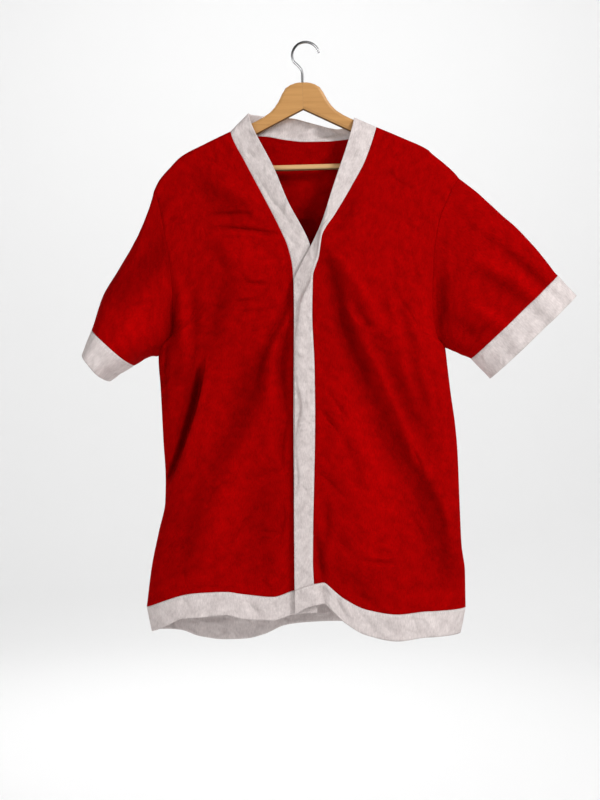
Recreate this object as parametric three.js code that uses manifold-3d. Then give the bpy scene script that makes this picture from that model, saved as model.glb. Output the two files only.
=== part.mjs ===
// A red felt costume coat with white trim, hanging open-fronted on a wooden hanger.
//
// Millimetres. +Z is up, -Y is the front of the coat and +X is the viewer's right.
// The origin is the inside of the hook's top, where a rail carries the hanger.
// "Right" and "left" are the wearer's, so the right front is on the viewer's left.
//
// Every cloth piece is a grid of points on the middle of the cloth. The grids share their seam
// points, so each seam is one line. Then each grid gets its thickness and draws back from its seams.

import * as THREE from 'three';
import { mergeVertices } from 'three/addons/utils/BufferGeometryUtils.js';
import Module from 'manifold-3d';

const wasm = await Module();
wasm.setup();

// Driving sizes
const CLOTH = 2; // felt with its turned-in edges
const SEAM_GAP = 0.3; // between two sewn pieces
const FIT_GAP = 0.3; // between the hanger's glued or pressed parts

const HANGER_TILT = THREE.MathUtils.degToRad(1.6); // the viewer's left end hangs lower
const HANGER_X = -5.5; // middle of the wooden block's top
const HANGER_Z = -68;
const ARM_THICK = 12;
const ARM_REACH = 215; // from the middle to the arm's end
const BAR_Z = -149.5; // below the block's top
const BAR_RADIUS = 5.2;
const BAR_TENON_RADIUS = 3.5;
const BAR_SHOULDER = 158; // where the bar is turned down to its tenons
const BAR_END = 194;
const BAR_CHAMFER = 0.7;

const WIRE_RADIUS = 2.2;
const HOOK_RADIUS = 23.6; // to the middle of the wire
const STEM_DEPTH = 26; // how far the wire goes into the wood

const WRAP_RADIUS = 8.2; // the cloth's middle, bent over the arm's rounded top
const CLOTH_LIFT = 2.1; // the cloth's middle above the arm's top
const ARMPIT = 0.393; // the armhole's share of a panel's outer edge

const PANEL_COLUMNS = 12; // from a front's band to its side seam
const BAND_COLUMNS = 3;
const HEM_ROWS = 2;
const NECK_ROWS = 3;

const BELLY = 7; // a front's fullness halfway between band and side
const NECK_HALF = 118; // the back's fullness at the neck ends here, aside of the middle
const BAND_STAND = 11; // the neck band's middle stands this far behind the hanger
const CREST_WIDTH = 9; // of the left band's roll
const HEM_SIDE_REACH = 40; // how far from the side seam the hem band is drawn in
const HEM_FLARE = 0.04;

const RED = new THREE.Color(0.33, 0.002, 0.004);
const WHITE = new THREE.Color(0.7, 0.64, 0.62);
const WOOD = new THREE.Color(0.6, 0.34, 0.15);
const BAR_WOOD = new THREE.Color(0.52, 0.32, 0.13);
const STEEL = new THREE.Color(0.62, 0.62, 0.63);

// A short table: its named columns, then its rows
function table(columns, ...rows) {
  const names = columns.split(' ');
  return rows.map((row) => Object.fromEntries(names.map((name, k) => [name, row[k]])));
}

// The hanger, measured from the middle of the block's top
const ARM_TOP = table('x z',
  [0, 0], [14, -2], [30, -10], [43, -33], [56, -50], [82, -66], [127, -85.3], [175, -107], [215, -127]);
const ARM_UNDER = table('x z',
  [0, -49], [81, -89], [127, -112], [160, -139], [182, -162], [215, -164]);
const SLEEVE_FALL = table('x z', [215, -127], [222, -134], [243, -152], [263, -172], [274, -188]);

// Edges of the fronts: x at each height, and how far the cloth stands forward of the arms there
const RIGHT_SEAM = table('z x out',
  [-155, -131, 0], [-164, -129, 0], [-210, -106, 8], [-281, -69, 20], [-322, -48, 26],
  [-364, -30, 31], [-400, -22.5, 33], [-453, -20, 34], [-660, -21, 32], [-800, -20, 33], [-950, -17, 35]);
const RIGHT_FREE = table('z x out',
  [-123, -99.5, 0], [-133, -98, 2], [-147, -93, 5], [-223, -55, 17], [-279, -32, 25],
  [-360, 8, 33], [-400, 17, 34], [-453, 18, 34], [-660, 17, 32], [-800, 18, 33], [-948, 20, 35]);
const LEFT_SEAM = table('z x out',
  [-148, 123.5, 0], [-160, 120, 1], [-209, 103, 10], [-255, 79, 20], [-305, 50, 34], [-344, 27, 46],
  [-378, 22, 50], [-418, 11.5, 49], [-474, 11, 45], [-570, 15, 42], [-658, 16, 41], [-898, 12, 43],
  [-938, 14, 45]);
const LEFT_FREE = table('z x out',
  [-131, 85, 0], [-144, 82, 4], [-190, 69, 12], [-226, 57, 18], [-269, 43, 26], [-315, 29, 34],
  [-362, 8, 38], [-394, -8.5, 39], [-424, -20.5, 40], [-474, -20, 40], [-660, -19, 39],
  [-800, -20, 40], [-949, -19, 42]);
// The left band is rolled: its crest wanders from the free edge to the seam and back
const LEFT_CREST = table('z x lift',
  [-283, 38, 0], [-345, 25.5, 3], [-382, 21.7, 5], [-420, 10, 7], [-461, -8.6, 6], [-546, -16.6, 3],
  [-593, -13.2, 3], [-636, -5.4, 4], [-692, -15, 3], [-762, -10.3, 3], [-805, -20, 0]);

// Armhole and side seam: x at each height, and how far front and back stand off the arms there
const RIGHT_OUTER = table('z x front back',
  [-249, -266, 0, 0], [-262, -259, 1, 1], [-322, -247, 12, 6], [-384, -236, 18, 10],
  [-444, -231, 20, 12], [-500, -231.5, 20, 13], [-522, -240, 20, 13], [-536, -253, 20, 13],
  [-551, -256.5, 22, 14], [-602, -253, 24, 15], [-695, -248, 30, 18], [-762, -244, 34, 20],
  [-800, -243.5, 36, 20], [-855, -252, 36, 22], [-914, -262, 36, 24], [-978, -270.5, 36, 24]);
const LEFT_OUTER = table('z x front back',
  [-239, 268, 0, 0], [-247, 260, 1, 1], [-268, 249, 4, 2], [-320, 229, 14, 6], [-382, 221, 20, 10],
  [-434, 220, 22, 12], [-486, 223, 22, 13], [-518, 231, 22, 13], [-532, 243, 22, 13],
  [-563, 247, 22, 14], [-612, 253, 24, 15], [-669, 261, 26, 17], [-715, 265, 28, 18],
  [-813, 269, 34, 20], [-877, 272, 36, 22], [-923, 278, 38, 24], [-985, 279, 38, 24]);
// The middle of the back, behind the arms
const BACK_MIDDLE = table('z out',
  [-120, 5], [-165, 7], [-250, 10], [-450, 15], [-700, 20], [-1000, 26]);

// Lower edges of the cloth and of the hem band that is sewn to it
const RIGHT_HEM = table('x seam end',
  [20, -948, -988], [-17, -950, -990], [-56, -961, -1001], [-106, -956, -998], [-136, -952, -991.5],
  [-182, -954, -996], [-208, -958, -998], [-243, -970, -1012], [-270.5, -978, -1021]);
const LEFT_HEM = table('x seam end',
  [-19, -949, -991], [5, -940, -977], [31, -936, -972], [47, -948, -985], [65, -962, -1002],
  [104, -981, -1024], [157, -989, -1034], [207, -985, -1029], [279, -985, -1029]);
const BACK_HEM = table('x seam end',
  [-270.5, -978, -1021], [-221, -989, -1032], [-187, -1001, -1044], [-143, -1006, -1050],
  [-107, -1005, -1049], [-74, -997, -1041], [-35, -982, -1025], [26, -975, -1018], [66, -974, -1017],
  [150, -979, -1022], [220, -985, -1028], [279, -985, -1029]);
const HEM_SIDE_DRAW = 9; // the hem band's end corners sit this far inwards of the cloth's

// The neckline's seam across the back and the standing edge of the band above it
const NECK = table('x seam edgeX edge',
  [-131, -155, -99.5, -123], [-123, -158.5, -88, -124], [-105, -160, -76, -124.5], [-70, -161, -52, -125.5],
  [-35, -166.5, -24, -127], [0, -169.5, 4, -134], [38, -169, 32, -142], [72, -166, 58, -146],
  [100, -160.5, 72, -144], [116, -155, 80, -139], [123.5, -148, 85, -131]);

// Sleeve rings: top and underarm points seen from the front, and the depth each way
const RIGHT_RINGS = table('topX topZ underX underZ front back',
  [-266, -249, -253, -536, 8, 8], [-275, -297, -259, -540, 36, 28], [-289, -331, -265, -542, 50, 34],
  [-306, -363, -272, -545, 64, 40], [-327, -401, -281, -550, 76, 46], [-350, -444, -291, -557, 86, 50],
  [-368, -501, -301, -563, 92, 54]);
const RIGHT_CUFF = table('topX topZ underX underZ front back',
  [-368, -501, -301, -563, 92, 54], [-376, -522, -323, -577, 95, 56], [-382, -543, -344, -591, 97, 58]);
const LEFT_RINGS = table('topX topZ underX underZ front back',
  [268, -239, 243, -532, 8, 8], [303, -265, 250, -534, 34, 22], [334, -293, 257, -537, 35, 22],
  [365, -321, 265, -540, 35, 22], [393, -350, 273, -544, 34, 21], [418, -379, 281, -547, 33, 20],
  [440, -407, 290, -551, 31, 19]);
const LEFT_CUFF = table('topX topZ underX underZ front back',
  [440, -407, 290, -551, 31, 19], [456.5, -424.5, 306.5, -568.5, 31, 19], [473, -442, 323, -586, 31, 19]);

// The deep tuck down the right side: the cloth beyond this line lies back towards the side seam
const SIDE_TUCK = table('z x share',
  [-520, -160, 0], [-545, -167, 0.15], [-573, -175, 0.7], [-616, -182, 1], [-675, -197, 1],
  [-730, -215, 1], [-775, -234, 0.8], [-815, -250, 0.2], [-840, -262, 0]);
const TUCK_RUN = 12; // width of the tuck's steep bank
const TUCK_DEPTH = 6; // how far forward of the side seam the cloth beyond it lies

// Large folds, as lines on the front view: a trough has a negative height
const RIGHT_FOLDS = table('x z toX toZ width height',
  [-24, -450, -140, -716, 26, -11], [-228, -470, -226, -545, 18, -8], [-214, -228, -121, -291, 22, -5],
  [-120, -560, -160, -900, 42, 7], [-186, -790, -248, -944, 26, -10], [-70, -700, -84, -960, 30, -6]);
const LEFT_FOLDS = table('x z toX toZ width height',
  [40, -385, 98, -580, 20, -12], [88, -555, 178, -735, 26, -13], [170, -715, 256, -935, 28, -12],
  [115, -453, 224, -735, 22, -7], [24, -872, 30, -945, 12, -8], [224, -420, 236, -535, 18, -8],
  [60, -640, 120, -960, 46, 7]);
const BACK_FOLDS = table('x z toX toZ width height',
  [-190, -240, -90, -420, 26, -6], [180, -230, 90, -430, 28, -6], [-30, -430, -150, -780, 34, -8],
  [60, -480, 150, -860, 36, -9], [-10, -700, -30, -1000, 30, 7], [-175, -760, -205, -1000, 26, -8],
  [205, -640, 225, -990, 26, -7]);
const RIGHT_SLEEVE_FOLDS = table('x z toX toZ width height',
  [-249, -340, -322, -444, 20, -9], [-262, -440, -318, -520, 18, -6]);
const LEFT_SLEEVE_FOLDS = table('x z toX toZ width height',
  [270, -290, 420, -430, 18, -7], [250, -440, 330, -520, 18, -6]);

// Smooth reading of one column, by another column that only rises or only falls
function read(rows, column, key, at) {
  const last = rows.length - 1;
  const way = Math.sign(rows[last][key] - rows[0][key]);
  let k = 0;
  while (k < last - 1 && (at - rows[k + 1][key]) * way > 0) k += 1;
  const slope = (n) => (rows[n + 1][column] - rows[n][column]) / (rows[n + 1][key] - rows[n][key]);
  const lean = (n) => {
    if (n <= 0) return slope(0);
    if (n >= last) return slope(last - 1);
    const [before, after] = [slope(n - 1), slope(n)];
    return before * after > 0 ? (2 * before * after) / (before + after) : 0;
  };
  const span = rows[k + 1][key] - rows[k][key];
  const u = THREE.MathUtils.clamp((at - rows[k][key]) / span, 0, 1);
  const bend = u * (1 - u) * ((1 - u) * lean(k) - u * lean(k + 1));
  return mix(rows[k][column], rows[k + 1][column], u * u * (3 - 2 * u)) + bend * span;
}

function mix(a, b, share) {
  return a + (b - a) * share;
}

// A share that rises smoothly from 0 at one value to 1 at another
function ease(from, to, at) {
  const u = THREE.MathUtils.clamp((at - from) / (to - from), 0, 1);
  return u * u * (3 - 2 * u);
}

// How far cloth stands off the arm's middle after it has dropped this far from the arm's top
function wrap(drop) {
  const fall = THREE.MathUtils.clamp(drop, 0, WRAP_RADIUS);
  return Math.sqrt(2 * WRAP_RADIUS * fall - fall * fall);
}

// Height of the cloth over the hanger's arm, and past its end where the sleeve falls away
function seat(x) {
  const sin = Math.sin(HANGER_TILT);
  const along = (reach) => read(reach < ARM_REACH ? ARM_TOP : SLEEVE_FALL, 'z', 'x', reach);
  let local = x - HANGER_X;
  local = x - HANGER_X + along(Math.abs(local)) * sin;
  return HANGER_Z + along(Math.abs(local)) + local * sin + CLOTH_LIFT;
}

// Height of the folds at a place on the front view
function folds(rows, x, z) {
  let height = 0;
  for (const row of rows) {
    const [dx, dz] = [row.toX - row.x, row.toZ - row.z];
    const length = Math.hypot(dx, dz);
    const along = ((x - row.x) * dx + (z - row.z) * dz) / length ** 2;
    const aside = ((x - row.x) * dz - (z - row.z) * dx) / length;
    const fade = ease(-0.12, 0.25, along) * (1 - ease(0.75, 1.12, along));
    height += row.height * fade * Math.exp(-((aside / row.width) ** 2));
  }
  return height;
}

// Shares down a panel: over the arm's top, down the armhole, then down the side seam
const WRAP_ANGLES = [0, 30, 60, 90].map(THREE.MathUtils.degToRad);
const WRAP_DROPS = WRAP_ANGLES.map((angle) => WRAP_RADIUS * (1 - Math.cos(angle)));
const PANEL_DROP = 737;
const ARMHOLE_ROWS = 8;
const SIDE_ROWS = 12;
function panelShares() {
  const shares = WRAP_DROPS.map((drop) => drop / PANEL_DROP);
  const start = shares[shares.length - 1];
  for (let k = 1; k <= ARMHOLE_ROWS; k += 1) {
    shares.push(mix(start, ARMPIT, 1 - (1 - k / ARMHOLE_ROWS) ** 1.6));
  }
  for (let k = 1; k <= SIDE_ROWS; k += 1) {
    shares.push(mix(ARMPIT, 1, (k / SIDE_ROWS) ** 1.12));
  }
  return shares;
}
const SHARES = panelShares();
const ARMPIT_ROW = WRAP_DROPS.length - 1 + ARMHOLE_ROWS;

// A point of the flat sheet between four edges, seen from the front
function between(inner, outer, top, bottom, s, t) {
  const point = {};
  for (const axis of ['x', 'z']) {
    const across = mix(inner(t)[axis], outer(t)[axis], s);
    const down = mix(top(s)[axis], bottom(s)[axis], t);
    const upper = mix(top(0)[axis], top(1)[axis], s);
    const lower = mix(bottom(0)[axis], bottom(1)[axis], s);
    point[axis] = across + down - mix(upper, lower, t);
  }
  return point;
}

// An edge that falls from one height to another, with its x read from a table
function edge(rows, top, bottom) {
  return (t) => {
    const z = mix(top, bottom, t);
    return { x: read(rows, 'x', 'z', z), z };
  };
}

// The cloth draws in to the side seam, and to the armhole's lower end
function rounding(s, t) {
  const close = Math.min(1, t / ARMPIT) ** 5;
  return Math.sqrt(Math.max(0, 1 - s ** 6 * close));
}

const RIGHT = {
  name: 'right', seam: RIGHT_SEAM, free: RIGHT_FREE, outer: RIGHT_OUTER, hem: RIGHT_HEM,
  folds: RIGHT_FOLDS, tuck: SIDE_TUCK, crest: null,
  rings: RIGHT_RINGS, cuff: RIGHT_CUFF, sleeveFolds: RIGHT_SLEEVE_FOLDS, sleeveFacing: 1,
  neckX: -131, tipX: -266, hemX: -17, sideX: -270.5, freeEndX: 20, facing: -1,
};
const LEFT = {
  name: 'left', seam: LEFT_SEAM, free: LEFT_FREE, outer: LEFT_OUTER, hem: LEFT_HEM,
  folds: LEFT_FOLDS, tuck: null, crest: LEFT_CREST,
  rings: LEFT_RINGS, cuff: LEFT_CUFF, sleeveFolds: LEFT_SLEEVE_FOLDS, sleeveFacing: -1,
  neckX: 123.5, tipX: 268, hemX: 14, sideX: 279, freeEndX: -19, facing: 1,
};
for (const side of [RIGHT, LEFT]) {
  side.seam[0].z = seat(side.neckX);
  side.outer[0].z = seat(side.tipX);
  side.hemZ = read(side.hem, 'seam', 'x', side.hemX);
  side.sideZ = read(side.hem, 'seam', 'x', side.sideX);
  side.innerEdge = edge(side.seam, seat(side.neckX), side.hemZ);
  side.outerEdge = edge(side.outer, seat(side.tipX), side.sideZ);
}

NECK[0].seam = seat(RIGHT.neckX);
NECK[NECK.length - 1].seam = seat(LEFT.neckX);

// Columns of a front: even at the shoulder and hem, gathered on the tuck's bank in between
const TUCK_LIP = 0.75; // share of the columns before the bank
const TUCK_FOOT = TUCK_LIP + 1 / PANEL_COLUMNS;
function column(side, k, t) {
  const even = k / PANEL_COLUMNS;
  if (!side.tuck) return even;
  const inner = side.innerEdge(t);
  const outer = side.outerEdge(t);
  const middle = mix(inner.z, outer.z, TUCK_LIP);
  const place = (inner.x - read(side.tuck, 'x', 'z', middle)) / (inner.x - outer.x);
  const pull = ease(-500, -560, middle) * (1 - ease(-810, -838, middle));
  const half = TUCK_RUN / 2 / (inner.x - outer.x);
  const lipAt = mix(TUCK_LIP, Math.min(place - half, 0.9), pull);
  const footAt = mix(TUCK_FOOT, Math.min(place + half, 0.95), pull);
  if (even <= TUCK_LIP) return (even / TUCK_LIP) * lipAt;
  if (even <= TUCK_FOOT) return mix(lipAt, footAt, (even - TUCK_LIP) / (TUCK_FOOT - TUCK_LIP));
  return mix(footAt, 1, (even - TUCK_FOOT) / (1 - TUCK_FOOT));
}

// Front panel: rows fall from the shoulder seam to the hem, columns run from band to side
function frontPanel(side) {
  const top = (s) => {
    const x = mix(side.neckX, side.tipX, s);
    return { x, z: seat(x) };
  };
  const bottom = (s) => {
    const x = mix(side.hemX, side.sideX, s);
    return { x, z: read(side.hem, 'seam', 'x', x) };
  };
  return SHARES.map((t) => Array.from({ length: PANEL_COLUMNS + 1 }, (_, k) => {
    const s = column(side, k, t);
    const { x, z } = between(side.innerEdge, side.outerEdge, top, bottom, s, t);
    const seamOut = read(side.seam, 'out', 'z', side.innerEdge(t).z);
    const sideOut = read(side.outer, 'front', 'z', side.outerEdge(t).z);
    const belly = BELLY * Math.sin(Math.PI * s) * ease(0.1, 0.5, t);
    const lie = wrap(top(s).z - z);
    const keep = Math.sin(Math.PI * Math.min(1, 4 * s, 6 * (1 - s)) / 2) * ease(0.01, 0.08, t);
    let out = lie + mix(seamOut, sideOut, s * s) + belly;
    out = (out + folds(side.folds, x, z) * keep) * rounding(s, t);
    if (side.tuck) {
      const past = read(side.tuck, 'x', 'z', z) - x;
      const share = read(side.tuck, 'share', 'z', z) * ease(-TUCK_RUN / 2, TUCK_RUN / 2, past);
      out = mix(out, Math.min(out, TUCK_DEPTH * rounding(s, t)), share);
    }
    return new THREE.Vector3(x, -out, z);
  }));
}

// Front band: columns run from the cloth's seam to the free edge
function frontBand(side, panel) {
  const freeTop = side.free[0].z;
  const freeEnd = read(side.hem, 'seam', 'x', side.freeEndX);
  const freeEdge = edge(side.free, freeTop, freeEnd);
  return SHARES.map((t, row) => {
    const seam = panel[row][0];
    const { x, z } = freeEdge(t);
    const free = new THREE.Vector3(x, -wrap(freeTop - z) - read(side.free, 'out', 'z', z), z);
    return Array.from({ length: BAND_COLUMNS + 1 }, (_, k) => {
      const s = k / BAND_COLUMNS;
      const point = seam.clone().lerp(free, s);
      if (side.crest) {
        const off = (point.x - read(side.crest, 'x', 'z', point.z)) / CREST_WIDTH;
        point.y -= read(side.crest, 'lift', 'z', point.z) * Math.exp(-(off ** 2)) * Math.sin(Math.PI * s);
      }
      return point;
    });
  });
}

// Columns of the back: the right shoulder, the neckline, then the left shoulder
function backTop() {
  const points = [];
  for (let k = PANEL_COLUMNS; k > 0; k -= 1) {
    points.push(mix(RIGHT.neckX, RIGHT.tipX, column(RIGHT, k, 0)));
  }
  points.push(...neckColumns());
  for (let k = 1; k <= PANEL_COLUMNS; k += 1) {
    points.push(mix(LEFT.neckX, LEFT.tipX, column(LEFT, k, 0)));
  }
  return points;
}

// Across the neck: close together where the seam climbs over each arm
const NECK_SPREAD = [0.11, 0.24, 0.37, 0.5, 0.63, 0.76, 0.89];
function neckColumns() {
  const climb = [0, 1.1, 4, 8.5];
  const inner = NECK_SPREAD.map((share) => mix(RIGHT.neckX, LEFT.neckX, share));
  return [
    ...climb.map((step) => RIGHT.neckX + step), ...inner,
    ...climb.map((step) => LEFT.neckX - step).reverse(),
  ];
}

function backPanel() {
  const tops = backTop();
  const width = LEFT.tipX - RIGHT.tipX;
  const top = (s) => {
    const x = RIGHT.tipX + width * s;
    const inNeck = x > RIGHT.neckX && x < LEFT.neckX;
    return { x, z: inNeck ? read(NECK, 'seam', 'x', x) : seat(x) };
  };
  const bottom = (s) => {
    const x = mix(RIGHT.sideX, LEFT.sideX, s);
    return { x, z: read(BACK_HEM, 'seam', 'x', x) };
  };
  return SHARES.map((t) => tops.map((topX, k) => {
    const spread = k / (tops.length - 1);
    const s = mix((topX - RIGHT.tipX) / width, spread, ease(0.01, 0.2, t));
    const { x, z } = between(RIGHT.outerEdge, LEFT.outerEdge, top, bottom, s, t);
    const side = s < 0.5 ? RIGHT : LEFT;
    const aside = Math.abs(2 * s - 1);
    const sideOut = read(side.outer, 'back', 'z', side.outerEdge(t).z);
    const neckward = Math.max(0, 1 - (x / NECK_HALF) ** 2);
    const middleOut = read(BACK_MIDDLE, 'out', 'z', z) * mix(neckward, 1, ease(0.02, 0.16, t));
    const keep = ease(0.01, 0.08, t) * Math.sin(Math.PI * Math.min(1, 6 * (1 - aside)) / 2);
    const out = wrap(seat(x) - z) + mix(middleOut, sideOut, aside * aside) + folds(BACK_FOLDS, x, z) * keep;
    return new THREE.Vector3(x, out * rounding(aside, t), z);
  }));
}

// Standing band round the back of the neck, from its seam up to its free edge
function neckBand(back, bands) {
  const first = PANEL_COLUMNS;
  const columns = neckColumns();
  return Array.from({ length: NECK_ROWS + 1 }, (_, row) => columns.map((x, k) => {
    const seam = back[0][first + k];
    const out = read(NECK, 'edgeX', 'x', x);
    const drop = Math.min(x - RIGHT.neckX, LEFT.neckX - x);
    const edgeY = wrap(drop) + BAND_STAND * ease(3, 60, drop);
    let free = new THREE.Vector3(out, edgeY, read(NECK, 'edge', 'x', x));
    if (k === 0) free = bands.right[0][BAND_COLUMNS];
    if (k === columns.length - 1) free = bands.left[0][BAND_COLUMNS];
    return seam.clone().lerp(free, row / NECK_ROWS);
  }));
}

// Hem band below one edge of cloth, drawn inwards a little at the side seam
function hemBand(edgePoints, rows, sides) {
  return Array.from({ length: HEM_ROWS + 1 }, (_, row) => edgePoints.map((point) => {
    const share = row / HEM_ROWS;
    const end = read(rows, 'end', 'x', point.x);
    const near = Math.max(...sides.map((x) => Math.exp(-(((point.x - x) / HEM_SIDE_REACH) ** 2))));
    const inward = -Math.sign(point.x) * HEM_SIDE_DRAW * near * share;
    return new THREE.Vector3(point.x + inward, point.y * (1 + HEM_FLARE * share), mix(point.z, end, share));
  }));
}

// Sleeve and cuff rings run round from the top, down the front and up the back
function tube(side, rows, front, back, first) {
  const armhole = SHARES.slice(0, ARMPIT_ROW + 1);
  const ends = side.rings[0];
  return rows.map((ring, k) => {
    const v = first ? k / (rows.length - 1) : 1;
    const hold = (1 - v) ** 2;
    const point = (row, share, way) => {
      const source = way < 0 ? front[row][PANEL_COLUMNS] : back[row];
      const w = share / ARMPIT;
      const chordX = mix(ends.topX, ends.underX, w);
      const x = mix(ring.topX, ring.underX, w) + (source.x - chordX) * hold;
      const z = mix(ring.topZ, ring.underZ, w);
      const oval = Math.sqrt(Math.max(0, 1 - Math.abs(2 * w - 1) ** 3));
      const depth = way < 0 ? ring.front : ring.back;
      const keep = Math.sin(Math.PI * v) ** 0.6 * Math.sin(Math.PI * w);
      const fold = first ? folds(side.sleeveFolds, x, z) * keep : 0;
      const y = mix(way * (depth * oval + fold), source.y, hold);
      return k === 0 && first ? source.clone() : new THREE.Vector3(x, y, z);
    };
    const down = armhole.map((share, row) => point(row, share, -1));
    const up = armhole.map((share, row) => point(row, share, 1)).slice(1, -1).reverse();
    return [...down, ...up];
  });
}

// A piece is made in blocks where it bends round the wearer, each with its rows and columns
const LAST_ROW = SHARES.length - 1;
const LAPEL_ROW = 6; // halfway down the V
const UPPER_LOWER = [
  { part: 'upper', rows: [0, ARMPIT_ROW] },
  { part: 'lower', rows: [ARMPIT_ROW, LAST_ROW] },
];
const BAND_BLOCKS = [
  { part: 'neck', rows: [0, LAPEL_ROW] },
  { part: 'upper', rows: [LAPEL_ROW, ARMPIT_ROW] },
  { part: 'lower', rows: [ARMPIT_ROW, LAST_ROW] },
];
const ROUND_ARM = [
  { part: 'front', columns: [0, ARMPIT_ROW] },
  { part: 'back', columns: [ARMPIT_ROW, 2 * ARMPIT_ROW] },
];

function blocks(piece) {
  if (!piece.cut) return [piece];
  const lastRow = piece.grid.length - 1;
  const lastColumn = piece.grid[0].length - 1;
  return piece.cut.map(({ part, rows = [0, lastRow], columns = [0, lastColumn] }) => {
    const across = (row) => Array.from(
      { length: columns[1] - columns[0] + 1 }, (_, k) => row[(columns[0] + k) % row.length]);
    const take = (grid) => grid.slice(rows[0], rows[1] + 1).map(across);
    return { ...piece, name: `${piece.name}_${part}`, grid: take(piece.grid), out: take(piece.out) };
  });
}

// Grids of all the cloth pieces: facing is 1 where rows crossed with columns points out of the coat
function cloth() {
  const back = backPanel();
  const middle = (back[0].length - 1) / 2;
  const halves = [
    { part: 'right', columns: [0, middle] },
    { part: 'left', columns: [middle, 2 * middle] },
  ];
  const backCut = UPPER_LOWER.flatMap(({ part, rows }) => halves.map((half) => (
    { part: `${part}_${half.part}`, rows, columns: half.columns })));
  const pieces = [{ name: 'back', grid: back, facing: -1, color: RED, cut: backCut }];
  const bands = {};
  for (const side of [RIGHT, LEFT]) {
    const front = frontPanel(side);
    const band = frontBand(side, front);
    const edgeColumn = side === RIGHT ? 0 : back[0].length - 1;
    const backEdge = back.map((row) => row[edgeColumn]);
    const sleeve = tube(side, side.rings, front, backEdge, true);
    const cuff = tube(side, side.cuff, front, backEdge, false);
    const hemEdge = [...band[LAST_ROW].slice(1).reverse(), ...front[LAST_ROW]];
    const hem = hemBand(hemEdge, side.hem, [side.sideX]);
    const { name, facing } = side;
    const round = { facing: side.sleeveFacing, ring: true, cut: ROUND_ARM };
    bands[name] = band;
    pieces.push({ name: `front_${name}`, grid: front, facing, color: RED, cut: UPPER_LOWER });
    pieces.push({ name: `band_${name}`, grid: band, facing: -facing, color: WHITE, cut: BAND_BLOCKS });
    pieces.push({ name: `sleeve_${name}`, grid: sleeve, color: RED, ...round });
    pieces.push({ name: `cuff_${name}`, grid: cuff, color: WHITE, ...round });
    pieces.push({ name: `hem_front_${name}`, grid: hem, facing, color: WHITE });
  }
  pieces.push({
    name: 'hem_back', grid: hemBand(back[LAST_ROW], BACK_HEM, [RIGHT.sideX, LEFT.sideX]),
    facing: -1, color: WHITE, cut: halves,
  });
  pieces.push({ name: 'neck_band_back', grid: neckBand(back, bands), facing: 1, color: WHITE });
  return pieces;
}

// Direction straight out of the cloth at each grid point
function directions(piece) {
  const { grid, ring, facing } = piece;
  const rows = grid.length;
  const columns = grid[0].length;
  const at = (i, j) => grid[Math.min(Math.max(i, 0), rows - 1)][
    ring ? (j + columns) % columns : Math.min(Math.max(j, 0), columns - 1)];
  return grid.map((row, i) => row.map((point, j) => {
    const down = at(i + 1, j).clone().sub(at(i - 1, j));
    const across = at(i, j + 1).clone().sub(at(i, j - 1));
    return down.cross(across).multiplyScalar(facing).normalize();
  }));
}

// Pieces that meet at a seam get one direction there, so that their walls stay in line
function shareDirections(pieces) {
  const meets = new Map();
  const place = (point) => point.toArray().map((value) => Math.round(value * 20)).join(' ');
  for (const { grid, out } of pieces) {
    grid.forEach((row, i) => row.forEach((point, j) => {
      const sum = meets.get(place(point)) ?? new THREE.Vector3();
      meets.set(place(point), sum.add(out[i][j]));
    }));
  }
  for (const { grid, out } of pieces) {
    grid.forEach((row, i) => row.forEach((point, j) => {
      out[i][j].copy(meets.get(place(point))).normalize();
    }));
  }
}

// Draws a grid's edges back by half the seam gap, along the cloth
function drawBack({ grid, out }) {
  const rows = grid.length;
  const columns = grid[0].length;
  const moved = grid.map((row) => row.map((point) => point.clone()));
  const pull = (i, j, nextI, nextJ, tangent) => {
    const way = grid[nextI][nextJ].clone().sub(grid[i][j]);
    way.projectOnPlane(out[i][j]).projectOnPlane(tangent.normalize()).normalize();
    moved[i][j].addScaledVector(way, SEAM_GAP / 2);
  };
  for (let j = 0; j < columns; j += 1) {
    const [left, right] = [Math.max(j - 1, 0), Math.min(j + 1, columns - 1)];
    pull(0, j, 1, j, grid[0][right].clone().sub(grid[0][left]));
    pull(rows - 1, j, rows - 2, j, grid[rows - 1][right].clone().sub(grid[rows - 1][left]));
  }
  for (let i = 0; i < rows; i += 1) {
    const [above, below] = [Math.max(i - 1, 0), Math.min(i + 1, rows - 1)];
    pull(i, 0, i, 1, grid[below][0].clone().sub(grid[above][0]));
    pull(i, columns - 1, i, columns - 2, grid[below][columns - 1].clone().sub(grid[above][columns - 1]));
  }
  return moved;
}

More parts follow.
